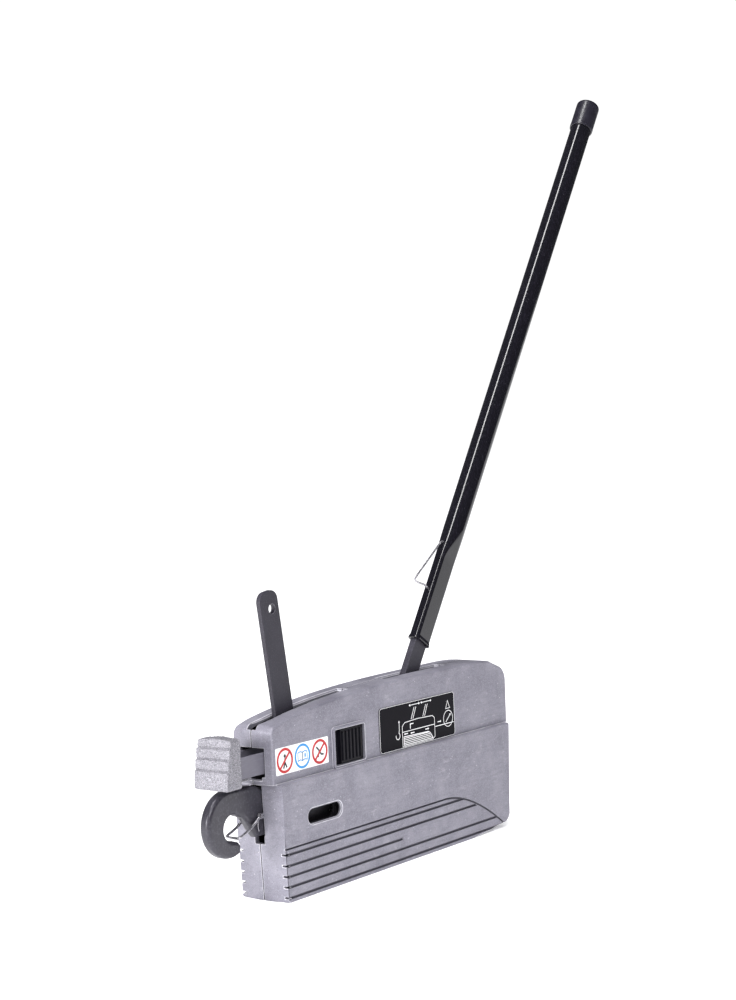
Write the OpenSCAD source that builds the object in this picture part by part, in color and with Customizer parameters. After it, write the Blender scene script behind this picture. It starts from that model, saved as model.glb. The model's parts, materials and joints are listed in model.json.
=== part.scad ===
// Hand-operated jaw-grip wire-rope pulling hoist, in millimetres.
// x runs from the hook end to the rope inlet end, y is 0 on the parting plane
// of the two casings, and z is 0 on the base.

/* [Casing] */
// Length of the flat base
base_len = 407; // [380:1:430]
// Depth of the lower casing over both halves
lower_depth = 64; // [60:1:70]
// Setback of the upper panels behind the lower ones, per side
upper_setback = 6.4; // [5:0.1:8]
// Height of the waist ledge between the lower and upper panels
waist_z = 121; // [118:1:124]
// Height of the crown of the top edge
crown_z = 199.5; // [198:0.5:204]
// Wall thickness of the castings
wall = 4; // [3:0.5:5]

/* [Rope] */
// Height of the rope line above the base
rope_z = 63.4; // [62:0.2:64]
// Radius of the wire rope that the jaws take
rope_r = 4.2; // [3.5:0.1:4.5]

/* [Forward lever] */
// Lean of the forward lever from upright
lever_lean = 33.2; // [28:0.1:36]
// Distance from the crank pivot to the tip of the lever tube
lever_reach = 897.5; // [700:0.5:950]
// Outside radius of the lever tube
tube_r = 12.7; // [12:0.1:14]
// Distance of each crank pin from the crank pivot
crank_throw = 34; // [30:0.5:36]

/* [Reverse lever] */
// Lean of the reverse lever from upright, towards the hook
reverse_lean = 8.65; // [5:0.05:12]
// Distance from the reverse pivot to the rounded tip
reverse_reach = 203; // [160:1:220]
// Width of the reverse lever bar
reverse_w = 28.6; // [26:0.2:30]

/* [Hook] */
// Thickness of the forged load hook
hook_t = 13; // [12:0.5:13.5]
// Outside radius of the hook bowl
bowl_r = 34; // [32:0.5:34]
// Inside radius of the hook opening
throat_r = 13; // [12:0.5:13.5]

/* [Hidden] */
$fn = 48;
eps = 0.01;

lower_half = lower_depth / 2;
upper_half = lower_half - upper_setback;
lower_in = lower_half - wall;
upper_in = upper_half - wall;

// Top edge: a long shallow curve with its crown past the middle
crown_x = 330;
hook_drop = 20;
hook_reach = 340;
inlet_drop = 6;
inlet_reach = 70;

// Pivots, as [x, z]
crank_at = [209.5, 118];
reverse_at = [50.7, 112];
hook_at = [12, 92];
latch_at = [-13, 89.5];
// The crank pins stand upright in mid swing, 4 degrees back from rest
crank_rest = 4;
rest_dx = crank_throw * sin(crank_rest);
rest_dz = crank_throw * cos(crank_rest);
lower_pin_at = [crank_at[0] - rest_dx, crank_at[1] - rest_dz];
upper_pin_at = [crank_at[0] + rest_dx, crank_at[1] + rest_dz];
crank_pin_r = 5;
// Height that a crank pin gains from mid swing to either end
pin_rise = crank_throw * (1 - cos(18));
pivot_gap = 0.3;
run_gap = 0.05;

main_r = 10;
reverse_pin_r = 8;
hook_pin_r = 7;
shaft_half = 23;
socket_half = 23.3;
bush_t = 2.5;

// Layers across the depth, as distances from the parting plane
frame_in = 17;
frame_out = 20;
stub_half = 4;
cheek_in = 4.25;
cheek_out = 8.75;
hook_plate_in = 9.2;
hook_plate_out = 12.2;
inlet_plate_in = 12.7;
inlet_plate_out = 15.7;

// Jaws
jaw_len = 66;
jaw_h = 15.5;
jaw_half = 8.9;
jaw_gap = 0.5;
jaw_lift = 3;
jaw_pin_r = 3.5;
hook_jaw_x = 115;
inlet_jaw_x = 300;
seat_dz = 25;
seat_r = 3;

// Lever tube, as distances from the crank pivot along the lever
tube_foot = 132.5;
flat_top = 234;
round_from = 277;
flat_w = 27;
flat_t = 13;
bore_w = 22.7;
bore_t = 8.7;
tube_wall = 2;
stub_w = 22;
stub_top = 213;
cap_from = 858;
cap_r = 14.6;

// Casing screws and dowels, as [x, z]
screw_at = [[22, 20], [135, 14], [260, 14], [388, 26], [396, 160], [173, 188], [345, 186]];
dowel_at = [[62, 14], [330, 15]];
screw_r = 3;
boss_r = 8;

// Windows in the front casing, as [x0, z0, x1, z1]
lock_window = [89.1, 123.6, 140, 161.5];
bezel_w = 3;
bezel_proud = 2.4;
slide_from = 88;
fold = 4.5;
groove_z = [49, 37.7, 26.7, 16, 5];
groove_end = [318, 340, 361, 380, 396];

// ---------------------------------------------------------------- helpers

function arc(cx, cz, r, a0, a1, n) =
    [for (i = [0:n]) let(a = a0 + (a1 - a0) * i / n) [cx + r * cos(a), cz + r * sin(a)]];

function crown(x) = crown_z - (x < crown_x
    ? hook_drop * pow((crown_x - x) / hook_reach, 3.4)
    : inlet_drop * pow((x - crown_x) / inlet_reach, 3));

// Moves a shape from hook-end stations to the middle of the base
module placed() translate([-base_len / 2, 0, 0]) children();

// Extrudes an x-z outline between two distances from the parting plane
module slab(y0, y1) translate([0, y1, 0]) rotate([90, 0, 0]) linear_extrude(y1 - y0) children();

// Repeats a slab on both sides of the parting plane
module both_sides(d0, d1) {
    slab(-d1, -d0) children();
    slab(d0, d1) children();
}

// Round bar across the depth at an [x, z] place
module cross_bar(at, r, y0, y1) translate([at[0], y1, at[1]]) rotate([90, 0, 0]) cylinder(r = r, h = y1 - y0);

// Flat box given by its corners
module block(x0, x1, y0, y1, z0, z1) translate([x0, y0, z0]) cube([x1 - x0, y1 - y0, z1 - z0]);

// Outline of a slot with round ends that runs upright
module upright_slot(at, r, rise) {
    translate(at) circle(r = r);
    translate([at[0], at[1] + rise]) circle(r = r);
    translate([at[0] - r, at[1]]) square([2 * r, rise]);
}

// Rectangle with rounded corners
module round_rect(x0, z0, x1, z1, r) {
    translate([x0 + r, z0]) square([x1 - x0 - 2 * r, z1 - z0]);
    translate([x0, z0 + r]) square([x1 - x0, z1 - z0 - 2 * r]);
    for (x = [x0 + r, x1 - r], z = [z0 + r, z1 - r]) translate([x, z]) circle(r = r);
}

// Skin over a list of rings, each given as points that turn counter-clockwise about the path
module skin(rings) {
    sides = len(rings[0]);
    last = len(rings) - 1;
    polyhedron([for (ring = rings) each ring], concat(
        [for (i = [0:last - 1], k = [0:sides - 1])
            [(i + 1) * sides + k, (i + 1) * sides + (k + 1) % sides, i * sides + (k + 1) % sides, i * sides + k]],
        [[for (k = [0:sides - 1]) k], [for (k = [sides - 1:-1:0]) last * sides + k]]
    ));
}

function unit(v) = v / norm(v);

// Bent wire through points that all lie in one plane, which the normal names
module wire(points, r, normal) {
    n = unit(normal);
    last = len(points) - 1;
    function run(i) = unit(points[i + 1] - points[i]);
    skin([for (i = [0:last]) let(
        before = run(max(i - 1, 0)),
        after = run(min(i, last - 1)),
        t = unit(before + after),
        side = cross(t, n) / (t * after)
    ) [for (b = [0:45:315]) points[i] + r * (cos(b) * n + sin(b) * side)]]);
}

// Coil spring along +z
module coil(radius, wire_r, turns, height) {
    steps = round(turns * 12);
    skin([for (i = [0:steps]) let(a = 360 * turns * i / steps, z = wire_r + (height - 2 * wire_r) * i / steps)
        [for (b = [0:60:300]) [
            (radius + wire_r * sin(b)) * cos(a), (radius + wire_r * sin(b)) * sin(a), z + wire_r * cos(b)
        ]]]);
}

// Puts a shape in the lever's own frame: z runs along the lever from the crank pivot
module along_lever() translate([crank_at[0], 0, crank_at[1]]) rotate([0, lever_lean, 0]) children();

// ---------------------------------------------------------------- casings

// Lower outline, drawn in by e at the ends, b at the base and t at the ledge
function lower_outline(e, b, t) = [
    [-2.5 + e, b], [330, b], [402 - e, 6.5 + b], [409.5 - e, 12 + b],
    [415 - e, waist_z - t], [-8.7 + e, waist_z - t]
];

// Upper outline, drawn in by e at the ends and t along the top
function upper_outline(e, t) = concat(
    [[-12.5 + e, waist_z - eps]],
    arc(-3, 172 - t, 9.5 - e, 180, 105, 6),
    [for (x = [10:25:385]) [x, crown(x) - t]],
    arc(401, 172 - t, 18.5 - e, 75, 0, 6),
    [[419 - e, waist_z - eps]]
);

module lower_solid() hull() {
    slab(-lower_half, 0) polygon(lower_outline(3.6, 1.6, 1.4));
    slab(-lower_half + 1.2, 0) polygon(lower_outline(2.6, 0, 0));
    slab(-9.4, 0) polygon(lower_outline(0, 0, 0));
}

module upper_solid() hull() {
    slab(-upper_half, 0) polygon(upper_outline(3.2, 2.6));
    slab(-upper_half + 1.2, 0) polygon(upper_outline(2.2, 1));
    slab(-21, 0) polygon(upper_outline(1.6, 0));
    slab(-9.4, 0) polygon(upper_outline(0, 0));
}

module cavity() {
    slab(-lower_in, eps) polygon([
        [4.2, wall], [330, wall], [396, 10.6], [401.5, 15], [407.5, waist_z - wall], [-2.2, waist_z - wall]
    ]);
    slab(-upper_in, eps) polygon(concat(
        [[1.6, 60], [-4.6, waist_z + 1]],
        arc(1, 167, 9.5, 180, 105, 4),
        [for (x = [10:25:385]) [x, crown(x) - wall]],
        arc(400, 171, 14.5, 75, 0, 4),
        [[411, waist_z + 1], [404, 60]]
    ));
}

// Solid bosses that reach from the wall to the side frame or the parting plane
module bosses() {
    for (at = screw_at) cross_bar(at, boss_r, -lower_half, eps);
    for (at = dowel_at) cross_bar(at, 6.5, -lower_half, eps);
    cross_bar(crank_at, 17, -lower_half, -frame_out);
    cross_bar(reverse_at, 14, -lower_half, -frame_out);
    cross_bar(hook_at, 13, -lower_half, -frame_out);
    block(372, 420, -15, eps, rope_z - 15, rope_z + 15);
}

// Openings that cut both casings alike
module shared_cuts() {
    // Long slot for the reverse lever and slot for the forward lever
    block(-11.5, 138, -5.6, eps, 140, 210);
    block(208.5, 318.5, -5.6, eps, 140, 210);
    // Upright slot for the hook shank, with the slack rope way out below it
    block(-30, 20, -hook_t / 2 - 0.8, eps, 67, 119);
    block(-30, 20, -6.3, eps, 58.5, 67 + eps);
    // Way in for the release straps and the tongue below them
    block(-30, 20, -15.7, eps, 128.5, 158);
    block(-30, 20, -12, eps, 124.8, 128.5 + eps);
    // Seat of the rope inlet guide
    translate([370, 0, rope_z]) rotate([0, 90, 0]) cylinder(r = 7, h = 60);
    translate([386, 0, rope_z]) rotate([0, 90, 0]) cylinder(r = 11, h = 60);
    translate([408, 0, rope_z]) rotate([0, 90, 0]) cylinder(r = 14.1, h = 20);
    // Blind sockets for the three shafts and the dowels
    cross_bar(crank_at, main_r + run_gap, -socket_half, eps);
    cross_bar(reverse_at, reverse_pin_r + run_gap, -socket_half, eps);
    cross_bar(hook_at, hook_pin_r + run_gap, -socket_half, eps);
    for (at = dowel_at) cross_bar(at, 3 + run_gap, -8.2, eps);
    // Notches at the ends of the lower panel, in line with its grooves
    for (z = groove_z) block(-12, 4, -lower_half - 1, -26, z - 0.8, z + 0.8);
}

module half_casing() difference() {
    union() {
        lower_solid();
        upper_solid();
    }
    difference() {
        cavity();
        bosses();
    }
    shared_cuts();
}

// Sunk zone of the lower panel, the grooves across it, and the bow that closes them
module panel_grooves() {
    slab(-lower_half - 1, -lower_half + 0.8) polygon(concat(
        [[-8, -1], [-8, 55.4], [281.4, 55.4]],
        [for (i = [1:10]) let(u = i / 10) [281.4 + 117 * u, 55.4 - 52 * pow(u, 1.7)]], [[398.4, -1]]
    ));
    for (i = [0:len(groove_z) - 1])
        block(-8, groove_end[i], -lower_half - 1, -lower_half + 1.8, groove_z[i] - 0.7, groove_z[i] + 0.7);
    block(-8, 282, -lower_half - 1, -lower_half + 1.8, 55.4, 56.8);
    slab(-lower_half - 1, -lower_half + 1.8) polygon(concat(
        [for (i = [0:10]) let(u = i / 10) [282 + 118 * u, 56.8 - 52 * pow(u, 1.7)]],
        [for (i = [10:-1:0]) let(u = i / 10) [281.4 + 117 * u, 55.4 - 52 * pow(u, 1.7)]]
    ));
}

module front_casing() color("#a09eaa") placed() difference() {
    union() {
        half_casing();
        // Raised bezel round the lock window
        slab(-upper_half - bezel_proud, -upper_half + eps) round_rect(
            lock_window[0] - bezel_w, lock_window[1] - bezel_w, lock_window[2] + bezel_w, lock_window[3] + bezel_w, 3);
    }
    slab(-upper_half - bezel_proud - 1, -upper_in + 1)
        round_rect(lock_window[0], lock_window[1], lock_window[2], lock_window[3], 1.5);
    slab(-lower_half - 1, -lower_in + 1) round_rect(35, 73.3, 90, 88.3, 7.49);
    for (at = screw_at) cross_bar(at, screw_r + run_gap, -15, eps);
    panel_grooves();
}

module rear_casing() color("#9896a3") placed() mirror([0, 1, 0]) difference() {
    half_casing();
    for (at = screw_at) {
        cross_bar(at, screw_r + run_gap, -lower_half - 1, eps);
        cross_bar(at, 5.6, -lower_half - 1, -17);
    }
    panel_grooves();
}

// ---------------------------------------------------------------- frames and shafts

module side_frame_outline() difference() {
    polygon([
        [3, 34], [14, 30], [372, 34], [384, 46], [384, 170], [362, 176], [20, 176], [2, 164], [2, 60]
    ]);
    translate(crank_at) circle(r = main_r + run_gap);
    translate(reverse_at) circle(r = reverse_pin_r + run_gap);
    translate(hook_at) circle(r = hook_pin_r + run_gap);
    // Lightening holes
    translate([160, 150]) circle(r = 9);
    translate([345, 120]) circle(r = 14);
}

module front_side_frame() color("#4c4a52") placed() difference() {
    slab(-frame_out, -frame_in) side_frame_outline();
    slab(-frame_out - 1, -frame_in + 1) round_rect(33, 71, 92, 90, 7.49);
}

module rear_side_frame() color("#4c4a52") placed() slab(frame_in, frame_out) side_frame_outline();

// Socket-head screws, all driven from the rear
module casing_screws() color("#6d6c72") placed() for (at = screw_at) difference() {
    union() {
        cross_bar(at, screw_r, -14, 18);
        cross_bar(at, 5.2, 17, 22.5);
    }
    translate([at[0], 23, at[1]]) rotate([90, 0, 0]) cylinder(r = 2.8, h = 3.5, $fn = 6);
}

module casing_dowels() color("#8d8c92") placed() for (at = dowel_at) cross_bar(at, 3, -8, 8);

module main_shaft() color("#8f8e94") placed() cross_bar(crank_at, main_r, -shaft_half, shaft_half);

module reverse_lever_pin() color("#8f8e94") placed() cross_bar(reverse_at, reverse_pin_r, -shaft_half, shaft_half);

module reverse_pin_spacers() color("#7b7a80") placed() difference() {
    union() {
        cross_bar(reverse_at, 12.5, -frame_in, -3.1);
        cross_bar(reverse_at, 12.5, 3.1, frame_in);
    }
    cross_bar(reverse_at, reverse_pin_r + run_gap, -20, 20);
}

module hook_pin() color("#8f8e94") placed() cross_bar(hook_at, hook_pin_r, -shaft_half, shaft_half);

// Flanged bush with a bell mouth that leads the rope in
module rope_inlet_guide() color("#59585f") placed() translate([0, 0, rope_z]) rotate([0, 90, 0]) rotate_extrude()
    polygon(concat(
        [[5.5, 386.2], [10.95, 386.2], [10.95, 408.1], [14, 408.1], [14, 416]],
        [for (a = [90:-15:0]) [8.5 - 3 * cos(a), 413 + 3 * sin(a)]]
    ));

// Trough that carries the slack rope out below the hook
module rope_exit_guide() color("#59585f") placed() difference() {
    block(21, 33, -frame_in, frame_in, 52, 68);
    translate([20, 0, rope_z]) rotate([0, 90, 0]) cylinder(r = 6.3, h = 14);
    block(20, 34, -6.3, 6.3, rope_z, 71);
}

module instruction_plate() color("#141318") placed()
    slab(-upper_half - 0.8, -upper_half) round_rect(168, 122.8, 309.5, 172, 4);

module pictogram_sticker() color("#f2f2f2") placed()
    slab(-upper_half - 0.3, -upper_half) round_rect(-6, 129.6, 79, 157, 1);

// ---------------------------------------------------------------- forward lever

// Lever stub: a bar on a round root, gripped between the crank cheeks
module forward_stub() color("#35343b") placed() difference() {
    union() {
        cross_bar(crank_at, 22, -stub_half, stub_half);
        along_lever() block(-stub_w / 2, stub_w / 2, -stub_half, stub_half, 0, stub_top);
    }
    cross_bar(crank_at, main_r + bush_t + run_gap, -10, 10);
    along_lever() for (x = [-17, 17]) translate([x, 10, 0]) rotate([90, 0, 0]) cylinder(r = 2.5, h = 20);
    for (z = [-17]) along_lever() translate([0, 10, z]) rotate([90, 0, 0]) cylinder(r = 2.5, h = 20);
}

module cheek_outline() difference() {
    union() {
        translate(crank_at) circle(r = 22);
        for (at = [lower_pin_at, upper_pin_at]) translate(at) circle(r = 12);
        translate(crank_at) rotate(-crank_rest) translate([-12, -crank_throw]) square([24, 2 * crank_throw]);
    }
    translate(crank_at) circle(r = main_r + bush_t + run_gap);
    for (at = [lower_pin_at, upper_pin_at]) translate(at) circle(r = crank_pin_r);
    translate(crank_at) rotate(-lever_lean) for (at = [[-17, 0], [17, 0], [0, -17]]) translate(at) circle(r = 2.5);
}

module crank_cheeks() color("#57565e") placed() both_sides(cheek_in, cheek_out) cheek_outline();

// The upper pin drives the inlet-side plates, the lower one the hook-side plates
module crank_pins() color("#8f8e94") placed() for (s = [-1, 1]) {
    cross_bar(upper_pin_at, crank_pin_r, s > 0 ? cheek_in : -inlet_plate_out - 0.2, s > 0 ? inlet_plate_out + 0.2 : -cheek_in);
    cross_bar(lower_pin_at, crank_pin_r, s > 0 ? cheek_in : -hook_plate_out - 0.2, s > 0 ? hook_plate_out + 0.2 : -cheek_in);
}

module shear_pins() color("#b08d4a") placed() along_lever() for (at = [[-17, 0], [17, 0], [0, -17]])
    translate([at[0], cheek_out, at[1]]) rotate([90, 0, 0]) cylinder(r = 2.5, h = 2 * cheek_out);

module crank_bush() color("#a8834a") placed() difference() {
    cross_bar(crank_at, main_r + bush_t, -cheek_out, cheek_out);
    cross_bar(crank_at, main_r + run_gap, -10, 10);
}

// Lever tube: flattened socket at the foot, then round to the end cap
module tube_section(w, t, h) translate([-w / 2, -t / 2, 0]) cube([w, t, h]);

module lever_tube() color("#17161b") placed() along_lever() difference() {
    union() {
        translate([0, 0, tube_foot]) tube_section(flat_w, flat_t, flat_top - tube_foot);
        hull() {
            translate([0, 0, flat_top - eps]) tube_section(flat_w, flat_t, eps);
            translate([0, 0, round_from]) cylinder(r = tube_r, h = eps, $fn = 32);
        }
        translate([0, 0, round_from]) cylinder(r = tube_r, h = lever_reach - 4 - round_from);
    }
    translate([0, 0, tube_foot - 1]) tube_section(bore_w, bore_t, flat_top - tube_foot + 1);
    hull() {
        translate([0, 0, flat_top - eps]) tube_section(bore_w, bore_t, eps);
        translate([0, 0, round_from]) cylinder(r = tube_r - tube_wall, h = eps, $fn = 32);
    }
    translate([0, 0, round_from]) cylinder(r = tube_r - tube_wall, h = lever_reach);
    // Holes for the two ends of the spring clip
    for (z = [195, 255.4]) translate([-flat_w / 2 - 1, 0, z]) rotate([0, 90, 0]) cylinder(r = 1.7, h = 4);
}

module tube_end_cap() color("#2e2d38") placed() along_lever() rotate_extrude() polygon(concat(
    [[tube_r + run_gap, cap_from], [cap_r - 0.8, cap_from], [cap_r, cap_from + 0.8]],
    [for (a = [0:15:90]) [cap_r - 4 + 4 * cos(a), lever_reach - 4 + 4 * sin(a)]],
    [[0, lever_reach], [0, lever_reach - 3.5], [tube_r + run_gap, lever_reach - 3.5]]
));

// Spring clip that pins the tube to the stub
module tube_clip() color("#8a8992") placed() along_lever() wire([
    [-10.4, 0, 255.4], [-14.2, 0, 255.4], [-16.4, 0, 253.6], [-17.4, 0, 251], [-40.4, 0, 195], [-41, 0, 192], [-38.6, 0, 190], [-24, 0, 194.4], [-21, 0, 195],
    [-11.6, 0, 195]
], 1.1, [0, 1, 0]);

// ---------------------------------------------------------------- reverse lever

module reverse_outline() difference() {
    union() {
        translate(reverse_at) circle(r = 20);
        translate(reverse_at) rotate(reverse_lean) {
            translate([-reverse_w / 2, 0]) square([reverse_w, reverse_reach - 8]);
            translate([-reverse_w / 2 + 8, 0]) square([reverse_w - 16, reverse_reach]);
            for (s = [-1, 1]) translate([s * (reverse_w / 2 - 8), reverse_reach - 8]) circle(r = 8);
        }
        translate([reverse_at[0], reverse_at[1]]) rotate(-crank_rest) translate([-9, -40]) square([18, 40]);
    }
    translate(reverse_at) circle(r = reverse_pin_r + bush_t + run_gap);
    translate(reverse_at) rotate(reverse_lean) translate([3, 184]) circle(r = 5.1);
    // Fork that the drive pin works in
    translate(reverse_at) rotate(-crank_rest) translate([0, -crank_throw]) {
        circle(r = 4.35);
        translate([-4.35, -10]) square([8.7, 10]);
    }
}

module reverse_lever() color("#3c3b43") placed() slab(-2.75, 2.75) reverse_outline();

module reverse_lever_bush() color("#a8834a") placed() difference() {
    cross_bar(reverse_at, reverse_pin_r + bush_t, -3, 3);
    cross_bar(reverse_at, reverse_pin_r + run_gap, -10, 10);
}

// ---------------------------------------------------------------- hook

// One closed outline: tip, bowl, shank top, eye, shank foot and opening
function hook_points() = concat(
    [[-48, 70], [-43.6, 68.6], [-41.2, 65.8], [-40.6, 61.5]],
    arc(-55, 88.5, bowl_r, -66, -270, 26),
    [[-40, 122.3], [-22, 121.5], [-12, 118.6], [-2, 115.4]],
    arc(hook_at[0], hook_at[1], 15, 75, -55, 8),
    [[5, 74], [-1, 67.8], [-15.8, 67.8], [-21, 73.5], [-25, 79], [-31, 87], [-37, 92]],
    arc(-51.5, 84, throat_r, 48, 272, 16)
);

module hook_outline() difference() {
    polygon(hook_points());
    translate(hook_at) circle(r = hook_pin_r + bush_t);
    translate(latch_at) circle(r = 1.6);
}

module load_hook() color("#4f4e56") placed() slab(-hook_t / 2, hook_t / 2) hook_outline();

module hook_bush() color("#a8834a") placed() difference() {
    cross_bar(hook_at, hook_pin_r + bush_t, -hook_t / 2, hook_t / 2);
    cross_bar(hook_at, hook_pin_r + run_gap, -10, 10);
}

module latch_pin() color("#9b9aa2") placed() {
    cross_bar(latch_at, 1.6, -10.6, 10.6);
    for (s = [-1, 1]) cross_bar(latch_at, 2.6, s > 0 ? 10 : -11, s > 0 ? 11 : -10);
}

// Torsion spring on the latch pin, with its leg along the shank
module latch_spring() color("#a5a4ac") placed() {
    difference() {
        cross_bar(latch_at, 2.7, -7.7, -6.6);
        cross_bar(latch_at, 1.65, -8, -6);
    }
    wire([[latch_at[0] - 1.5, -7.15, latch_at[1] - 1.2], [-16, -7.15, 79], [-14.5, -7.15, 74]], 0.5, [0, 1, 0]);
}

// Wire loop that closes the hook opening
module hook_latch() color("#b9b8c0") placed() {
    tip = [-47.6, 72.6];
    run = unit(tip - latch_at);
    eye = latch_at + 2.8 * run;
    bend = tip - 3 * run;
    wire(concat(
        [[eye[0], -9, eye[1]]],
        [for (a = [90:-30:0]) [bend[0] + 3 * run[0] * cos(a), -6 - 3 * sin(a), bend[1] + 3 * run[1] * cos(a)]],
        [for (a = [0:30:90]) [bend[0] + 3 * run[0] * cos(a), 6 + 3 * sin(a), bend[1] + 3 * run[1] * cos(a)]],
        [[eye[0], 9, eye[1]]]
    ), 1.3, [-run[1], 0, run[0]]);
    for (y = [-9.7, 8.3]) difference() {
        cross_bar(latch_at, 3.1, y, y + 1.4);
        cross_bar(latch_at, 1.66, -12, 12);
    }
}

// ---------------------------------------------------------------- drive plates and jaws

// Guide slots for the two jaw pins of one jaw; opens away from the rope by the jaw's lift
module jaw_pin_slots(x, side) for (dx = [-17, 17])
    upright_slot([x + dx, rope_z + side * 9 + (side > 0 ? 0 : -jaw_lift)], jaw_pin_r + pivot_gap, jaw_lift);

module seat_holes(x) for (dx = [-17, 17], side = [-1, 1])
    translate([x + dx, rope_z + side * seat_dz]) circle(r = seat_r);

module hook_plate_outline() difference() {
    union() {
        translate([38, 69]) square([186, 22]);
        translate([hook_jaw_x - 38, 33]) square([76, 60]);
        translate([lower_pin_at[0], lower_pin_at[1] + 0.8]) circle(r = 12);
    }
    upright_slot([lower_pin_at[0], crank_at[1] - crank_throw - 0.3], crank_pin_r + pivot_gap, pin_rise + 0.6);
    jaw_pin_slots(hook_jaw_x, 1);
    jaw_pin_slots(hook_jaw_x, -1);
    seat_holes(hook_jaw_x);
    translate([reverse_at[0] - rest_dx, reverse_at[1] - crank_throw]) circle(r = 4);
    translate([168, 78]) circle(r = 4.5);
}

module hook_side_drive_plates() color("#6a6970") placed() both_sides(hook_plate_in, hook_plate_out) hook_plate_outline();

module inlet_plate_outline() difference() {
    union() {
        translate([upper_pin_at[0], upper_pin_at[1] - 0.8]) circle(r = 12);
        translate([upper_pin_at[0], 141]) square([74, 21]);
        translate([264, 80]) square([22, 82]);
        translate([inlet_jaw_x - 38, 33]) square([76, 60]);
    }
    upright_slot([upper_pin_at[0], crank_at[1] + crank_throw - pin_rise - 0.3], crank_pin_r + pivot_gap, pin_rise + 0.6);
    jaw_pin_slots(inlet_jaw_x, 1);
    jaw_pin_slots(inlet_jaw_x, -1);
    seat_holes(inlet_jaw_x);
    translate([275, 128]) circle(r = 4.5);
}

module rope_side_drive_plates() color("#6a6970") placed() both_sides(inlet_plate_in, inlet_plate_out) inlet_plate_outline();

// Cross bars that hold a pair of plates apart and seat the jaw springs
module jaw_seats(x, half) for (dx = [-17, 17], side = [-1, 1])
    cross_bar([x + dx, rope_z + side * seat_dz], seat_r, -half, half);

module hook_side_spacers() color("#8f8e94") placed() {
    jaw_seats(hook_jaw_x, hook_plate_out);
    cross_bar([168, 78], 4.5, -hook_plate_out, hook_plate_out);
}

module rope_side_spacers() color("#8f8e94") placed() {
    jaw_seats(inlet_jaw_x, inlet_plate_out);
    cross_bar([275, 128], 4.5, -inlet_plate_out, inlet_plate_out);
}

module reverse_drive_pin() color("#8f8e94") placed()
    cross_bar([reverse_at[0] - rest_dx, reverse_at[1] - crank_throw], 4, -hook_plate_out, hook_plate_out);

// One jaw: a block with a rope groove, relieved at both ends
module jaw(x, side) color("#77767d") placed() difference() {
    union() {
        block(x - jaw_len / 2, x + jaw_len / 2, -jaw_half, jaw_half,
            side > 0 ? rope_z + jaw_gap : rope_z - jaw_gap - jaw_h + 3,
            side > 0 ? rope_z + jaw_gap + jaw_h - 3 : rope_z - jaw_gap);
        block(x - jaw_len / 2 + 7, x + jaw_len / 2 - 7, -jaw_half, jaw_half,
            side > 0 ? rope_z + jaw_gap : rope_z - jaw_gap - jaw_h, side > 0 ? rope_z + jaw_gap + jaw_h : rope_z - jaw_gap);
    }
    translate([x - jaw_len / 2 - 1, 0, rope_z]) rotate([0, 90, 0]) cylinder(r = rope_r, h = jaw_len + 2);
    for (dx = [-17, 17]) cross_bar([x + dx, rope_z + side * 9], jaw_pin_r, -20, 20);
}

module jaw_pins(x, side, half) color("#94939a") placed() for (dx = [-17, 17])
    cross_bar([x + dx, rope_z + side * 9], jaw_pin_r, -half, half);

// Coil springs between one jaw and its seats
module jaw_springs(x, side) color("#a5a4ac") placed() for (dx = [-17, 17])
    translate([x + dx, 0, side > 0 ? rope_z + jaw_gap + jaw_h : rope_z - seat_dz + seat_r])
        coil(3.4, 0.45, 3, seat_dz - seat_r - jaw_gap - jaw_h);

module hook_side_upper_springs() jaw_springs(hook_jaw_x, 1);
module hook_side_lower_springs() jaw_springs(hook_jaw_x, -1);
module rope_side_upper_springs() jaw_springs(inlet_jaw_x, 1);
module rope_side_lower_springs() jaw_springs(inlet_jaw_x, -1);
module hook_side_upper_jaw() jaw(hook_jaw_x, 1);
module hook_side_lower_jaw() jaw(hook_jaw_x, -1);
module rope_side_upper_jaw() jaw(inlet_jaw_x, 1);
module rope_side_lower_jaw() jaw(inlet_jaw_x, -1);
module hook_side_upper_jaw_pins() jaw_pins(hook_jaw_x, 1, hook_plate_out + 0.3);
module hook_side_lower_jaw_pins() jaw_pins(hook_jaw_x, -1, hook_plate_out + 0.3);
module rope_side_upper_jaw_pins() jaw_pins(inlet_jaw_x, 1, inlet_plate_out + 0.3);
module rope_side_lower_jaw_pins() jaw_pins(inlet_jaw_x, -1, inlet_plate_out + 0.3);

// ---------------------------------------------------------------- rope release

strap_in = 12.2;
strap_out = 14.7;
strap_low = 132.3;
strap_h = 21.5;

// Push block: stepped bands on its outer face and a crowned top
module release_block() color("#b4b3bb") placed() {
    difference() {
        intersection() {
            slab(-22, 22) polygon([
                [-54, 125], [-54, 177], [-68.5, 177], [-69.6, 166.8], [-71, 166.2], [-71.6, 155.9], [-73, 155.3],
                [-73.6, 144.8], [-75, 144.2], [-76, 128.4], [-75, 125]
            ]);
            translate([-80, 0, 0]) rotate([90, 0, 90]) linear_extrude(40) intersection() {
                translate([0, 16]) circle(r = 160, $fn = 192);
                round_rect(-22, 125, 22, 180, 3);
            }
        }
        for (s = [-1, 1])
            block(-66, -52, s > 0 ? strap_in : -strap_out, s > 0 ? strap_out : -strap_in, strap_low, strap_low + strap_h);
        cross_bar([-60, 141], 2.5, -24, 24);
    }
    // Tongue under the straps
    block(-55, -26, -11, 11, 128.3, 131);
}

module release_straps() color("#6f6d79") placed() both_sides(strap_in, strap_out) difference() {
    translate([-66, strap_low]) square([211, strap_h]);
    translate([-60, 141]) circle(r = 2.5);
    translate([136, 141]) circle(r = 5);
}

module strap_bolts() color("#8f8e94") placed() cross_bar([-60, 141], 2.5, -21.5, 21.5);

module strap_spacer() color("#8f8e94") placed() cross_bar([136, 141], 5, -strap_out, strap_out);

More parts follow.
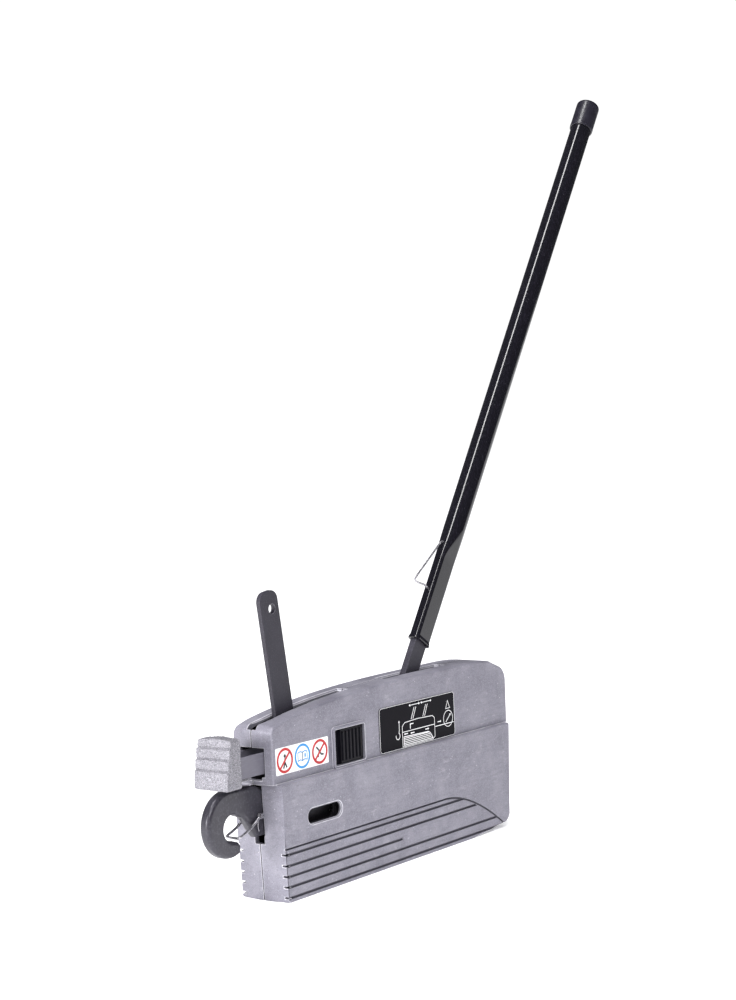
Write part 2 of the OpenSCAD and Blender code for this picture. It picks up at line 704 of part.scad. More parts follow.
// Ribbed catch in the window of the front casing, on a plate that keeps the window closed
module lock_slide() color("#121116") placed() {
    block(slide_from, 152.5, -upper_in + 0.2, -frame_out - 0.2, 122.3, 162.8);
    block(101.7, 139.5, -upper_half + 0.6, -upper_in + 0.2 + eps, 124.2, 160.9);
    for (i = [0:5]) block(103.6 + 6 * i, 106.4 + 6 * i, -upper_half - 0.9, -upper_half + 0.6 + eps, 127, 158);
}

// Flat zigzag spring that pushes the catch back towards the rope inlet end
module slide_spring() color("#a5a4ac") placed() for (i = [0:3]) {
    block(slide_from - 1 - fold * i, slide_from - fold * i, -21.2, -20.4, 134, 150);
    block(slide_from - fold * (i + 1) - eps, slide_from - 1 - fold * i + eps, -21.2, -20.4,
        i % 2 == 0 ? 149 : 134, i % 2 == 0 ? 150 : 135);
}

front_casing();
rear_casing();
front_side_frame();
rear_side_frame();
casing_screws();
casing_dowels();
main_shaft();
reverse_lever_pin();
reverse_pin_spacers();
hook_pin();
rope_inlet_guide();
rope_exit_guide();
instruction_plate();
pictogram_sticker();
forward_stub();
crank_cheeks();
crank_pins();
shear_pins();
crank_bush();
lever_tube();
tube_end_cap();
tube_clip();
reverse_lever();
reverse_lever_bush();
load_hook();
hook_bush();
latch_pin();
latch_spring();
hook_latch();
hook_side_drive_plates();
hook_side_spacers();
reverse_drive_pin();
hook_side_upper_springs();
hook_side_lower_springs();
hook_side_upper_jaw();
hook_side_upper_jaw_pins();
hook_side_lower_jaw();
hook_side_lower_jaw_pins();
rope_side_drive_plates();
rope_side_spacers();
rope_side_upper_springs();
rope_side_lower_springs();
rope_side_upper_jaw();
rope_side_upper_jaw_pins();
rope_side_lower_jaw();
rope_side_lower_jaw_pins();
release_block();
release_straps();
strap_bolts();
strap_spacer();
lock_slide();
slide_spring();
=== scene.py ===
"""Looks of a hand-operated jaw-grip wire-rope hoist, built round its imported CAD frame.

Shapes are written in millimetres as the part itself is: x runs along the casing from the hook end of the
base, y is 0 on the parting plane with the front towards -y, and z is 0 on the base. place() turns such a
point into the frame's metres.
"""
import json
import math

import bmesh
import bpy
from mathutils import Matrix, Vector


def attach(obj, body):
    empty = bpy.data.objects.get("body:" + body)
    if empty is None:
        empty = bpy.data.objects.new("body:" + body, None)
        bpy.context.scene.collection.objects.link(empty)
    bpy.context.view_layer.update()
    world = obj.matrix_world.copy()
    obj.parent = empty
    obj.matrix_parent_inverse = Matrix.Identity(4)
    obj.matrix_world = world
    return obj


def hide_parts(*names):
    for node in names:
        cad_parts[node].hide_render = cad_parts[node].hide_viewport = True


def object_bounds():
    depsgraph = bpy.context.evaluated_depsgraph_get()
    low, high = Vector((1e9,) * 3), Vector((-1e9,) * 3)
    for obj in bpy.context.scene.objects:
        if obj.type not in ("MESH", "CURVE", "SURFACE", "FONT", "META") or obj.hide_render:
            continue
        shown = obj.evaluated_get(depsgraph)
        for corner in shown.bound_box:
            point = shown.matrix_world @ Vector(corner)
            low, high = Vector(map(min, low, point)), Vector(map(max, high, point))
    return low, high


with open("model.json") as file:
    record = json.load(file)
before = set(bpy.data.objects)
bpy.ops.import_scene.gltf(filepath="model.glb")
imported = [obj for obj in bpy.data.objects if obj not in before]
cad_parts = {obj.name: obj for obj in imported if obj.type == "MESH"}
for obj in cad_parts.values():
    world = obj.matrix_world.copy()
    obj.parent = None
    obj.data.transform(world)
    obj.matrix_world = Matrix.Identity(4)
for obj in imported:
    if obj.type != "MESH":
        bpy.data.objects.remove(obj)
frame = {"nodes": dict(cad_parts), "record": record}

CAD_BOX = [list(corner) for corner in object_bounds()]
MM = 0.001

# ---------------------------------------------------------------- dimensions, in mm

BASE_LEN = 407.0
LOWER_HALF = 32.0
UPPER_HALF = 25.6
WAIST_Z = 121.0
WALL = 4.0
CROWN_Z, CROWN_X = 199.5, 330.0
ROPE_Z = 63.4
CRANK = (209.5, 118.0)
REVERSE = (50.7, 112.0)
HOOK_PIN = (12.0, 92.0)
LATCH = (-13.0, 89.5)
LEVER_LEAN = 33.2
LEVER_REACH = 897.5
REVERSE_LEAN = 8.65
REVERSE_REACH = 203.0
REVERSE_W = 28.6
HOOK_T = 13.0
STRAP_IN, STRAP_OUT = 12.2, 14.7
STRAP_Z = (132.3, 153.8)
PANEL_SINK = 1.0
SCREWS = [(22, 20), (135, 14), (260, 14), (388, 26), (396, 160), (173, 188), (345, 186)]
LOCK_WINDOW = (89.1, 123.6, 140.0, 161.5)
BEZEL_WIDTH, BEZEL_PROUD = 3.0, 2.4
OVAL_WINDOW = (35.0, 73.3, 90.0, 88.3)
PLATE = (168.0, 122.8, 309.5, 172.0)
STICKER = (-6.0, 129.6, 79.0, 157.0)
GROOVES = [(49.0, 318.0), (37.7, 340.0), (26.7, 196.0), (16.0, 380.0), (5.0, 396.0)]
TOP_SLOTS = [(-11.5, 138.0), (208.5, 318.5)]
SLOT_HALF = 5.6
GROOVE_DEPTH = 2.3
BOW_TOP, BOW_START, BOW_LENGTH = 56.1, 282, 118
INLET_BORE = 5.5
LEVER_T = 5.5
STUB_T = 8.0
TUBE_FOOT = 132.5
TUBE_WALL = 2.05
RELEASE_HALF = 22

# ---------------------------------------------------------------- camera, in degrees and metres

CAMERA_AZIMUTH, CAMERA_PITCH, CAMERA_ROLL = 53.7, 2.7, -2.35
CAMERA_AT = (-1.7272, -1.3018, 0.4910)
CAMERA_LENS = 71.64
CAMERA_SHIFT = (-0.027, 0.004)
FLOOR_REACH = 14.0


def place(x, y, z):
    """A point of the part, in mm, as metres in the frame."""
    return Vector(((x - BASE_LEN / 2) * MM, y * MM, z * MM))


def along_lever(x, y, z):
    """A point in the forward lever's own frame, where z runs from the crank pivot along the lever."""
    a = math.radians(LEVER_LEAN)
    return (CRANK[0] + x * math.cos(a) + z * math.sin(a), y, CRANK[1] - x * math.sin(a) + z * math.cos(a))


# ---------------------------------------------------------------- outlines


def arc(cx, cz, r, start, end, steps):
    """Points on an arc, with the angles in degrees."""
    angles = [math.radians(start + (end - start) * i / steps) for i in range(steps + 1)]
    return [(cx + r * math.cos(a), cz + r * math.sin(a)) for a in angles]


def fillet(points, radii, steps=5):
    """A closed outline with its corners rounded. A radius of 0 keeps its corner."""
    out = []
    for i, (p, r) in enumerate(zip(points, radii)):
        p = Vector(p)
        before = (Vector(points[i - 1]) - p).normalized()
        after = (Vector(points[(i + 1) % len(points)]) - p).normalized()
        if not r:
            out.append(tuple(p))
            continue
        half = before.angle(after) / 2
        centre = p + (before + after).normalized() * r / math.sin(half)
        a, b = p + before * r / math.tan(half), p + after * r / math.tan(half)
        start, end = a - centre, b - centre
        turn = start.angle_signed(end)
        for k in range(steps + 1):
            c, s = math.cos(-turn * k / steps), math.sin(-turn * k / steps)
            out.append((centre.x + start.x * c - start.y * s, centre.y + start.x * s + start.y * c))
    return out


def inset(points, distance):
    """A counter-clockwise closed outline moved inwards."""
    out = []
    n = len(points)
    for i in range(n):
        p = Vector(points[i])
        a = (p - Vector(points[i - 1])).normalized()
        b = (Vector(points[(i + 1) % n]) - p).normalized()
        na, nb = Vector((-a.y, a.x)), Vector((-b.y, b.x))
        m = (na + nb).normalized()
        out.append(tuple(p + m * distance / max(0.35, m.dot(na))))
    return out


def rectangle(x0, z0, x1, z1, r, steps=5):
    """A rectangle with rounded corners, counter-clockwise."""
    return fillet([(x0, z0), (x1, z0), (x1, z1), (x0, z1)], [r] * 4, steps)


def crown(x):
    """Height of the casing's bowed top edge."""
    if x < CROWN_X:
        return CROWN_Z - 20 * ((CROWN_X - x) / 340) ** 3.4
    return CROWN_Z - 6 * ((x - CROWN_X) / 70) ** 3


def front_back(side, near, far):
    """The two depths in rising order, for a half on the given side: -1 is the front and 1 the rear."""
    return sorted((side * near, side * far))


# ---------------------------------------------------------------- solids


class Solid:
    """Closed bodies gathered into one mesh, with their points in mm."""

    def __init__(self):
        self.points = []
        self.faces = []

    def loft(self, rings, closed=False):
        """A skin over rings of equal length, capped at both ends unless the rings close on themselves."""
        start, n, count = len(self.points), len(rings[0]), len(rings)
        for ring in rings:
            self.points.extend(ring)
        for i in range(count if closed else count - 1):
            for k in range(n):
                a, b = start + i * n, start + (i + 1) % count * n
                self.faces.append((a + k, a + (k + 1) % n, b + (k + 1) % n, b + k))
        if not closed:
            self.faces.append(tuple(start + k for k in reversed(range(n))))
            self.faces.append(tuple(start + (count - 1) * n + k for k in range(n)))
        return self

    def slab(self, outline, y0, y1, edge=0.0, steps=4):
        """An x-z outline extruded in y, with its two rims rounded by edge."""
        rows = [(y0, 0.0), (y1, 0.0)]
        if edge:
            quarter = [math.radians(90 * k / steps) for k in range(steps + 1)]
            rows = [(y0 + edge * (1 - math.sin(a)), edge * (1 - math.cos(a))) for a in reversed(quarter)]
            rows += [(y1 - edge * (1 - math.sin(a)), edge * (1 - math.cos(a))) for a in quarter]
        return self.loft([[(x, y, z) for x, z in inset(outline, d)] for y, d in rows])

    def block(self, x0, x1, y0, y1, z0, z1):
        """A plain box."""
        return self.slab([(x0, z0), (x1, z0), (x1, z1), (x0, z1)], y0, y1)

    def rod(self, at, r, y0, y1, sides=48, edge=0.0):
        """A round bar across the depth."""
        return self.slab(arc(at[0], at[1], r, 0, 360 * (1 - 1 / sides), sides - 1), y0, y1, edge)

    def lathe(self, profile, to_place, sides=48):
        """A closed (radius, height) profile turned about an axis that to_place knows."""
        rings = []
        for k in range(sides):
            a = 2 * math.pi * k / sides
            rings.append([to_place(r * math.cos(a), r * math.sin(a), h) for r, h in profile])
        return self.loft(rings, closed=True)

    def wire(self, path, r, sides=12):
        """A round wire along a path, with its ends rounded a little."""
        path = [Vector(p) for p in path]
        last = len(path) - 1
        runs = [(path[min(i + 1, last)] - path[max(i - 1, 0)]).normalized() for i in range(last + 1)]
        side = runs[0].orthogonal().normalized()
        rings = []
        for i, (p, t) in enumerate(zip(path, runs)):
            side = (side - t * side.dot(t)).normalized()
            other = t.cross(side)
            angles = [2 * math.pi * k / sides for k in range(sides)]
            ring = [(side * math.cos(a) + other * math.sin(a)) for a in angles]
            if i == 0:
                rings.append([tuple(p - t * r * 0.3 + v * r * 0.6) for v in ring])
            rings.append([tuple(p + v * r) for v in ring])
            if i == last:
                rings.append([tuple(p + t * r * 0.3 + v * r * 0.6) for v in ring])
        return self.loft(rings)

    def ribbon(self, path, width, y0, y1, closed=False):
        """A flat line of even width that follows an x-z path, as a thin closed body."""
        pts = [Vector(p) for p in path]
        n = len(pts)
        left, right = [], []
        for i, p in enumerate(pts):
            a = pts[i - 1] if i or closed else p
            b = pts[(i + 1) % n] if i < n - 1 or closed else p
            before = (p - a).normalized() if (p - a).length else (b - p).normalized()
            after = (b - p).normalized() if (b - p).length else before
            m = Vector((-before.y - after.y, before.x + after.x)).normalized()
            d = m * width / 2 / max(0.4, m.dot(Vector((-before.y, before.x))))
            left.append(p + d)
            right.append(p - d)
        rings = [[(l.x, y0, l.y), (r.x, y0, r.y), (r.x, y1, r.y), (l.x, y1, l.y)] for l, r in zip(left, right)]
        return self.loft(rings, closed)

    def build(self, name):
        """The gathered bodies as one object in the scene, with faces outwards."""
        mesh = bpy.data.meshes.new(name)
        mesh.from_pydata([place(*p) for p in self.points], [], self.faces)
        bm = bmesh.new()
        bm.from_mesh(mesh)
        bmesh.ops.recalc_face_normals(bm, faces=bm.faces)
        bm.to_mesh(mesh)
        bm.free()
        obj = bpy.data.objects.new(name, mesh)
        bpy.context.scene.collection.objects.link(obj)
        return obj


def cut(solid):
    return ("DIFFERENCE", solid)


def add(solid):
    return ("UNION", solid)


def carve(obj, steps):
    """Runs a list of (mode, Solid) boolean steps on an object."""
    tools = []
    for i, (mode, solid) in enumerate(steps):
        tool = solid.build(f"tool_{i}")
        tools.append(tool)
        step = obj.modifiers.new(f"step_{i}", "BOOLEAN")
        step.operation = mode
        step.object = tool
        step.solver = "MANIFOLD"
    bpy.context.view_layer.update()
    shaped = bpy.data.meshes.new_from_object(obj.evaluated_get(bpy.context.evaluated_depsgraph_get()))
    obj.modifiers.clear()
    old, obj.data = obj.data, shaped
    bpy.data.meshes.remove(old)
    for tool in tools:
        mesh = tool.data
        bpy.data.objects.remove(tool)
        bpy.data.meshes.remove(mesh)
    return obj


def soften(obj, width, angle=38.0):
    """Rounds the sharp edges by width, in mm, and marks the narrow new faces for edge wear."""
    bm = bmesh.new()
    bm.from_mesh(obj.data)
    bmesh.ops.remove_doubles(bm, verts=bm.verts, dist=2e-6)
    bmesh.ops.dissolve_limit(bm, angle_limit=math.radians(0.15), verts=bm.verts, edges=bm.edges)
    rim = bm.faces.layers.float.new("rim")
    sharp = [e for e in bm.edges if len(e.link_faces) == 2 and e.calc_face_angle() > math.radians(angle)]
    made = bmesh.ops.bevel(
        bm, geom=sharp, offset=width * MM, segments=2, profile=0.5, affect="EDGES", clamp_overlap=False
    )
    for face in made["faces"]:
        face[rim] = 1.0
    bm.to_mesh(obj.data)
    bm.free()
    return obj


def smooth(mesh, angle=32.0):
    """Smooth shading, with the edges that turn by more than the angle kept sharp."""
    mesh.polygons.foreach_set("use_smooth", [True] * len(mesh.polygons))
    mesh.set_sharp_from_angle(angle=math.radians(angle))


def finish_piece(obj, body, slot, nodes=(), angle=32.0, paint=None):
    """Gives a new piece its body and the material of its slot, and hides the CAD nodes that it stands for."""
    obj.data.materials.clear()
    obj.data.materials.append(MATERIALS[paint or slot])
    smooth(obj.data, angle)
    obj.modifiers.new("weighted_normals", "WEIGHTED_NORMAL").keep_sharp = True
    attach(obj, body)
    if nodes:
        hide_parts(*nodes)
    return obj


# ---------------------------------------------------------------- materials


class Shade:
    """A material's node tree, with short calls for the nodes used here."""

    def __init__(self, name):
        self.material = bpy.data.materials.new(name)
        self.material.use_nodes = True
        self.tree = self.material.node_tree
        self.shader = self.tree.nodes["Principled BSDF"]
        self.coords = self.tree.nodes.new("ShaderNodeTexCoord").outputs["Object"]

    def feed(self, socket, value):
        """Links another node's output to the socket, or sets the socket to a plain value."""
        if isinstance(value, bpy.types.NodeSocket):
            self.tree.links.new(value, socket)
        else:
            socket.default_value = value

    def node(self, kind, **inputs):
        """A new node, with underscores in the input names standing for spaces."""
        node = self.tree.nodes.new(kind)
        for name, value in inputs.items():
            self.feed(node.inputs[name.replace("_", " ")], value)
        return node

    def stretch(self, x, y, z):
        """The object's coordinates, scaled to draw a pattern out along one axis."""
        return self.node("ShaderNodeMapping", Vector=self.coords, Scale=(x, y, z)).outputs["Vector"]

    def noise(self, size, detail=3.0, vector=None, roughness=0.55):
        """Noise with features of about size mm."""
        node = self.node(
            "ShaderNodeTexNoise", Vector=vector or self.coords, Scale=1 / (size * MM), Detail=detail,
            Roughness=roughness
        )
        return node.outputs["Fac"]

    def cells(self, size):
        """Distance from the middle of cells of about size mm."""
        return self.node("ShaderNodeTexVoronoi", Vector=self.coords, Scale=1 / (size * MM)).outputs["Distance"]

    def band(self, value, low, high, out_low=0.0, out_high=1.0):
        """The part of a value from low to high, spread from out_low to out_high and held beyond."""
        node = self.node(
            "ShaderNodeMapRange", Value=value, From_Min=low, From_Max=high, To_Min=out_low, To_Max=out_high
        )
        return node.outputs["Result"]

    def multiply(self, a, b):
        return self.math("MULTIPLY", a, b)

    def math(self, operation, a, b):
        node = self.tree.nodes.new("ShaderNodeMath")
        node.operation = operation
        for socket, value in zip(node.inputs, (a, b)):
            self.feed(socket, value)
        return node.outputs["Value"]

    def mix(self, factor, a, b):
        """Goes from a to b, each a colour or another node's output, as the factor goes from 0 to 1."""
        node = self.tree.nodes.new("ShaderNodeMix")
        node.data_type = "RGBA"
        for i, value in ((0, factor), (6, a), (7, b)):
            self.feed(node.inputs[i], (*value, 1.0) if isinstance(value, tuple) else value)
        return node.outputs[2]

    def attribute(self, name):
        """A number that the mesh carries on its faces."""
        node = self.tree.nodes.new("ShaderNodeAttribute")
        node.attribute_name = name
        return node.outputs["Fac"]

    def set(self, **inputs):
        """Feeds the inputs of the material's shader."""
        for name, value in inputs.items():
            self.feed(self.shader.inputs[name.replace("_", " ")], value)

    def bump(self, height, depth):
        """Bump whose full height is depth mm."""
        node = self.node("ShaderNodeBump", Height=height, Distance=depth * MM, Strength=1.0)
        self.tree.links.new(node.outputs["Normal"], self.shader.inputs["Normal"])


def finish_of(name, tones, *, patch=22.0, grain=1.0, fleck=0.0, fleck_size=1.6, worn=None,
              rough=(0.45, 0.65), metallic=0.0, bump=0.05, streak=None, specular=0.5):
    """One procedural finish: patches and grain of three tones, flecks, worn rims, roughness and bump."""
    s = Shade(name)
    base, dark, light = tones
    vector = s.stretch(*streak) if streak else None
    patches = s.noise(patch, 4.0)
    fine = s.noise(grain, 4.0, vector)
    tone = s.mix(s.band(patches, 0.35, 0.68), dark, base)
    tone = s.mix(s.band(fine, 0.5, 0.78), tone, light)
    if fleck:
        spots = s.band(s.cells(fleck_size), 0.16, 0.07)
        keep = s.band(s.noise(fleck_size * 3.1, 1.0), 0.52, 0.62)
        tone = s.mix(s.multiply(s.multiply(spots, keep), fleck), tone, light)
    if worn:
        wear = s.multiply(s.attribute("rim"), s.band(s.noise(5.0, 3.0), 0.3, 0.62, 0.25, 1.0))
        tone = s.mix(wear, tone, worn)
    blend = s.math("ADD", s.multiply(patches, 0.5), s.multiply(fine, 0.5))
    s.set(Base_Color=tone, Roughness=s.band(blend, 0.35, 0.65, *rough), Metallic=metallic)
    s.set(Specular_IOR_Level=specular)
    s.bump(fine, bump)
    return s.material


def casing_finish():
    """Blasted die-cast aluminium: cloudy lavender grey, dark pores, light worn rims, and painted shade along
    the parting seam and in the grooves.
    """
    s = Shade("cast_alloy")
    clouds = s.noise(38.0, 5.0, roughness=0.6)
    grain = s.noise(0.9, 3.0)
    pores = s.band(s.cells(1.5), 0.2, 0.08)
    few = s.band(s.noise(4.5, 2.0), 0.5, 0.62)
    streaks = s.noise(3.0, 3.0, s.stretch(0.15, 0.6, 1.0))
    tone = s.mix(s.band(clouds, 0.32, 0.68), (0.150, 0.144, 0.180), (0.255, 0.248, 0.292))
    tone = s.mix(s.band(streaks, 0.45, 0.8, 0.0, 0.5), tone, (0.130, 0.125, 0.155))
    tone = s.mix(s.band(grain, 0.45, 0.75, 0.0, 0.5), tone, (0.380, 0.370, 0.420))
    tone = s.mix(s.multiply(s.multiply(pores, few), 0.6), tone, (0.090, 0.086, 0.105))
    rubs = s.band(s.noise(9.0, 6.0, s.stretch(0.35, 1.0, 1.0), 0.7), 0.60, 0.76, 0.0, 0.45)
    tone = s.mix(rubs, tone, (0.480, 0.472, 0.520))
    specks = s.multiply(s.band(s.cells(5.0), 0.13, 0.06), s.band(s.noise(26.0, 2.0), 0.50, 0.60))
    tone = s.mix(s.multiply(specks, 0.7), tone, (0.700, 0.692, 0.730))
    wear = s.multiply(s.attribute("rim"), s.band(s.noise(6.0, 4.0), 0.3, 0.65, 0.5, 1.0))
    tone = s.mix(wear, tone, (0.620, 0.612, 0.660))
    # Painted shade: the faces marked deep, in the grooves and along the parting seam, go near black.
    tone = s.mix(s.multiply(s.attribute("deep"), 0.85), tone, (0.035, 0.033, 0.045))
    s.set(Base_Color=tone, Roughness=s.band(clouds, 0.3, 0.7, 0.42, 0.6), Metallic=0.25)
    s.set(Specular_IOR_Level=0.4)
    height = s.math("ADD", s.multiply(grain, 0.6), s.multiply(pores, -0.25))
    s.bump(height, 0.09)
    return s.material


def sparkle_finish():
    """Coarse sand-cast block, with glints of its crystals painted in as light spots."""
    s = Shade("release_casting")
    grit = s.noise(1.3, 5.0, roughness=0.7)
    cells = s.cells(1.1)
    tone = s.mix(s.band(grit, 0.32, 0.66), (0.080, 0.077, 0.093), (0.330, 0.322, 0.355))
    # Painted glints: light spots in the cells stand for crystals catching the light.
    tone = s.mix(s.band(cells, 0.34, 0.12, 0.0, 0.75), tone, (0.640, 0.632, 0.670))
    wear = s.multiply(s.attribute("rim"), s.band(s.noise(3.0, 3.0), 0.35, 0.6, 0.2, 0.9))
    tone = s.mix(wear, tone, (0.700, 0.695, 0.730))
    s.set(Base_Color=tone, Roughness=s.band(grit, 0.3, 0.7, 0.32, 0.6), Metallic=0.35)
    s.bump(s.math("ADD", grit, s.multiply(cells, 0.6)), 0.35)
    return s.material


def tube_finish():
    """Gloss black enamel with fine dust, scuffs along the tube and a violet cast."""
    s = Shade("tube_black")
    scuffs = s.noise(2.2, 4.0, s.stretch(1.0, 1.0, 0.12))
    dust = s.multiply(s.band(s.cells(3.2), 0.12, 0.05), s.band(s.noise(14.0, 2.0), 0.5, 0.62))
    tone = s.mix(s.band(scuffs, 0.5, 0.85, 0.0, 0.5), (0.0045, 0.0042, 0.0065), (0.020, 0.018, 0.028))
    tone = s.mix(s.multiply(dust, 0.35), tone, (0.22, 0.21, 0.25))
    s.set(Base_Color=tone, Roughness=s.band(scuffs, 0.3, 0.8, 0.06, 0.2), Specular_IOR_Level=0.5)
    s.bump(scuffs, 0.012)
    return s.material


FINISHES = {
    "strap_steel": dict(tones=((0.135, 0.130, 0.160), (0.118, 0.113, 0.141), (0.160, 0.155, 0.186)),
        patch=14, grain=1.4, streak=(0.12, 1, 1), rough=(0.42, 0.55), metallic=0.1, bump=0.01,
        worn=(0.40, 0.39, 0.44)),
    # frame_steel is near black as painted shade: the frame is seen only in shadow through the casing's
    # openings.
    "frame_steel": dict(tones=((0.060, 0.058, 0.068), (0.036, 0.034, 0.042), (0.105, 0.10, 0.115)),
        grain=1.2, rough=(0.4, 0.6), metallic=0.6, bump=0.04),
    "ground_steel": dict(tones=((0.42, 0.415, 0.43), (0.30, 0.295, 0.31), (0.58, 0.57, 0.59)),
        grain=0.8, rough=(0.2, 0.36), metallic=0.9, bump=0.01),
    "screw_steel": dict(tones=((0.23, 0.225, 0.24), (0.15, 0.147, 0.16), (0.36, 0.355, 0.37)),
        grain=0.8, rough=(0.3, 0.46), metallic=0.85, bump=0.015, worn=(0.5, 0.49, 0.5)),
    "spring_steel": dict(tones=((0.50, 0.49, 0.52), (0.30, 0.29, 0.32), (0.72, 0.71, 0.74)),
        patch=6, grain=0.6, rough=(0.2, 0.34), metallic=0.85, bump=0.008),
    "jaw_steel": dict(tones=((0.17, 0.165, 0.175), (0.10, 0.097, 0.107), (0.27, 0.262, 0.28)),
        grain=1.0, rough=(0.34, 0.5), metallic=0.8, bump=0.03),
    "bush_bronze": dict(tones=((0.40, 0.245, 0.085), (0.27, 0.155, 0.05), (0.55, 0.36, 0.15)),
        grain=0.9, rough=(0.28, 0.42), metallic=0.9, bump=0.01),
    "guide_iron": dict(tones=((0.125, 0.12, 0.135), (0.075, 0.072, 0.083), (0.21, 0.205, 0.22)),
        grain=1.1, rough=(0.4, 0.58), metallic=0.6, bump=0.05, worn=(0.4, 0.39, 0.42)),
    "plate_black": dict(tones=((0.0050, 0.0045, 0.0070), (0.0030, 0.0027, 0.0045), (0.010, 0.009, 0.013)),
        patch=30, grain=0.7, rough=(0.42, 0.55), bump=0.006, specular=0.06, worn=(0.20, 0.195, 0.22)),
    "sticker_white": dict(tones=((0.86, 0.86, 0.87), (0.80, 0.80, 0.815), (0.93, 0.93, 0.935)),
        patch=18, grain=0.8, rough=(0.4, 0.5), bump=0.006),
    "lever_steel": dict(tones=((0.030, 0.028, 0.038), (0.021, 0.019, 0.027), (0.056, 0.054, 0.068)),
        patch=26, grain=1.4, fleck=0.7, fleck_size=4.2, rough=(0.42, 0.58), bump=0.03, specular=0.3,
        worn=(0.20, 0.195, 0.225)),
    "cap_plastic": dict(tones=((0.010, 0.009, 0.016), (0.007, 0.006, 0.011), (0.028, 0.026, 0.038)),
        patch=12, grain=0.8, rough=(0.28, 0.42), bump=0.02, specular=0.6),
    "hook_steel": dict(tones=((0.040, 0.038, 0.049), (0.028, 0.026, 0.035), (0.070, 0.067, 0.082)),
        patch=16, grain=2.4, rough=(0.28, 0.42), metallic=0.3, bump=0.05, worn=(0.2, 0.19, 0.22)),
    "catch_plastic": dict(tones=((0.0060, 0.0055, 0.0085), (0.0035, 0.0032, 0.0055), (0.015, 0.014, 0.020)),
        patch=9, grain=0.6, rough=(0.32, 0.48), bump=0.012, specular=0.12, worn=(0.42, 0.41, 0.45)),
    "sign_red": dict(tones=((0.44, 0.004, 0.006), (0.38, 0.003, 0.005), (0.52, 0.010, 0.012)),
        patch=9, grain=0.7, rough=(0.38, 0.46), bump=0.004),
    "sign_blue": dict(tones=((0.020, 0.26, 0.62), (0.016, 0.22, 0.54), (0.04, 0.32, 0.68)),
        patch=9, grain=0.7, rough=(0.38, 0.46), bump=0.004),
    "sign_black": dict(tones=((0.015, 0.014, 0.016), (0.010, 0.009, 0.011), (0.03, 0.028, 0.032)),
        patch=9, grain=0.7, rough=(0.4, 0.5), bump=0.004),
}
MATERIALS = {"cast_alloy": casing_finish(), "release_casting": sparkle_finish(), "tube_black": tube_finish()}
MATERIALS.update({name: finish_of(name, **settings) for name, settings in FINISHES.items()})


# ---------------------------------------------------------------- camera, floor and light


def make_stage():
    """The camera, a pale floor and soft white light."""
    make_camera()
    make_world()
    make_floor()
    soft_light("key", (-2.6, -1.9, 2.4), (0, 0, 0.2), (1.6, 1.6), 75)
    soft_light("end", (-3.4, 0.9, 0.8), (0, 0, 0.2), (0.9, 0.9), 90)
    soft_light("strip", (-1.13, 0.02, 3.19), (0.28, 0, 0.55), (0.4, 2.6), 70)
    sun = bpy.data.lights.new("sun", "SUN")
    sun.energy = 1.9
    sun.angle = math.radians(60)
    high = bpy.data.objects.new("sun", sun)
    high.rotation_euler = (math.radians(8), math.radians(-6), 0)
    high.visible_glossy = False
    bpy.context.scene.collection.objects.link(high)


def make_camera():
    """The camera at the same angle as the reference view, rolled a little as that view is."""
    azimuth, pitch, roll = [math.radians(a) for a in (CAMERA_AZIMUTH, CAMERA_PITCH, CAMERA_ROLL)]
    level = math.cos(pitch)
    forward = Vector((math.sin(azimuth) * level, math.cos(azimuth) * level, -math.sin(pitch)))
    right = Vector((math.cos(azimuth), -math.sin(azimuth), 0))
    up = right.cross(forward)
    cam_right = right * math.cos(roll) + up * math.sin(roll)
    cam_up = up * math.cos(roll) - right * math.sin(roll)
    axes = (cam_right, cam_up, -forward)
    camera = bpy.data.objects.new("camera", bpy.data.cameras.new("camera"))
    camera.data.lens = CAMERA_LENS
    camera.data.shift_x, camera.data.shift_y = CAMERA_SHIFT
    camera.matrix_world = Matrix([[a[i] for a in axes] + [CAMERA_AT[i]] for i in range(3)] + [[0, 0, 0, 1]])
    bpy.context.scene.collection.objects.link(camera)
    bpy.context.scene.camera = camera
    bpy.context.scene.view_settings.view_transform = "Standard"


def make_world():
    """White to the camera, dimmer as light on the object, and dimmest in reflections."""
    world = bpy.data.worlds.new("studio")
    world.use_nodes = True
    tree = world.node_tree
    rays = tree.nodes.new("ShaderNodeLightPath")

    def background(node, colour, strength):
        node.inputs["Color"].default_value = (*colour, 1.0)
        node.inputs["Strength"].default_value = strength
        return node.outputs["Background"]

    def choose(ray, otherwise, then):
        node = tree.nodes.new("ShaderNodeMixShader")
        tree.links.new(rays.outputs[ray], node.inputs["Fac"])
        tree.links.new(otherwise, node.inputs[1])
        tree.links.new(then, node.inputs[2])
        return node.outputs["Shader"]

    seen = background(tree.nodes["Background"], (1.0, 1.0, 1.0), 1.05)
    light = background(tree.nodes.new("ShaderNodeBackground"), (0.95, 0.95, 1.0), 0.36)
    mirrored = background(tree.nodes.new("ShaderNodeBackground"), (0.9, 0.9, 1.0), 0.10)
    surface = choose("Is Camera Ray", choose("Is Glossy Ray", light, mirrored), seen)
    tree.links.new(surface, tree.nodes["World Output"].inputs["Surface"])
    bpy.context.scene.world = world


def make_floor():
    """A wide pale floor that glows a little, so that it stays white away from the lights."""
    floor = bpy.data.objects.new("floor", bpy.data.meshes.new("floor"))
    low = CAD_BOX[0][2]
    corners = [(x * FLOOR_REACH, y * FLOOR_REACH, low) for x, y in ((-1, -1), (1, -1), (1, 1), (-1, 1))]
    floor.data.from_pydata(corners, [], [(0, 1, 2, 3)])
    paper = finish_of(
        "floor_paper", ((0.96, 0.96, 0.965), (0.95, 0.95, 0.955), (0.98, 0.98, 0.98)),
        patch=400, grain=6.0, rough=(0.7, 0.85), bump=0.02, specular=0.1)
    glow = paper.node_tree.nodes["Principled BSDF"]
    glow.inputs["Emission Color"].default_value = (1.0, 1.0, 1.0, 1.0)
    glow.inputs["Emission Strength"].default_value = 0.3
    floor.data.materials.append(paper)
    bpy.context.scene.collection.objects.link(floor)


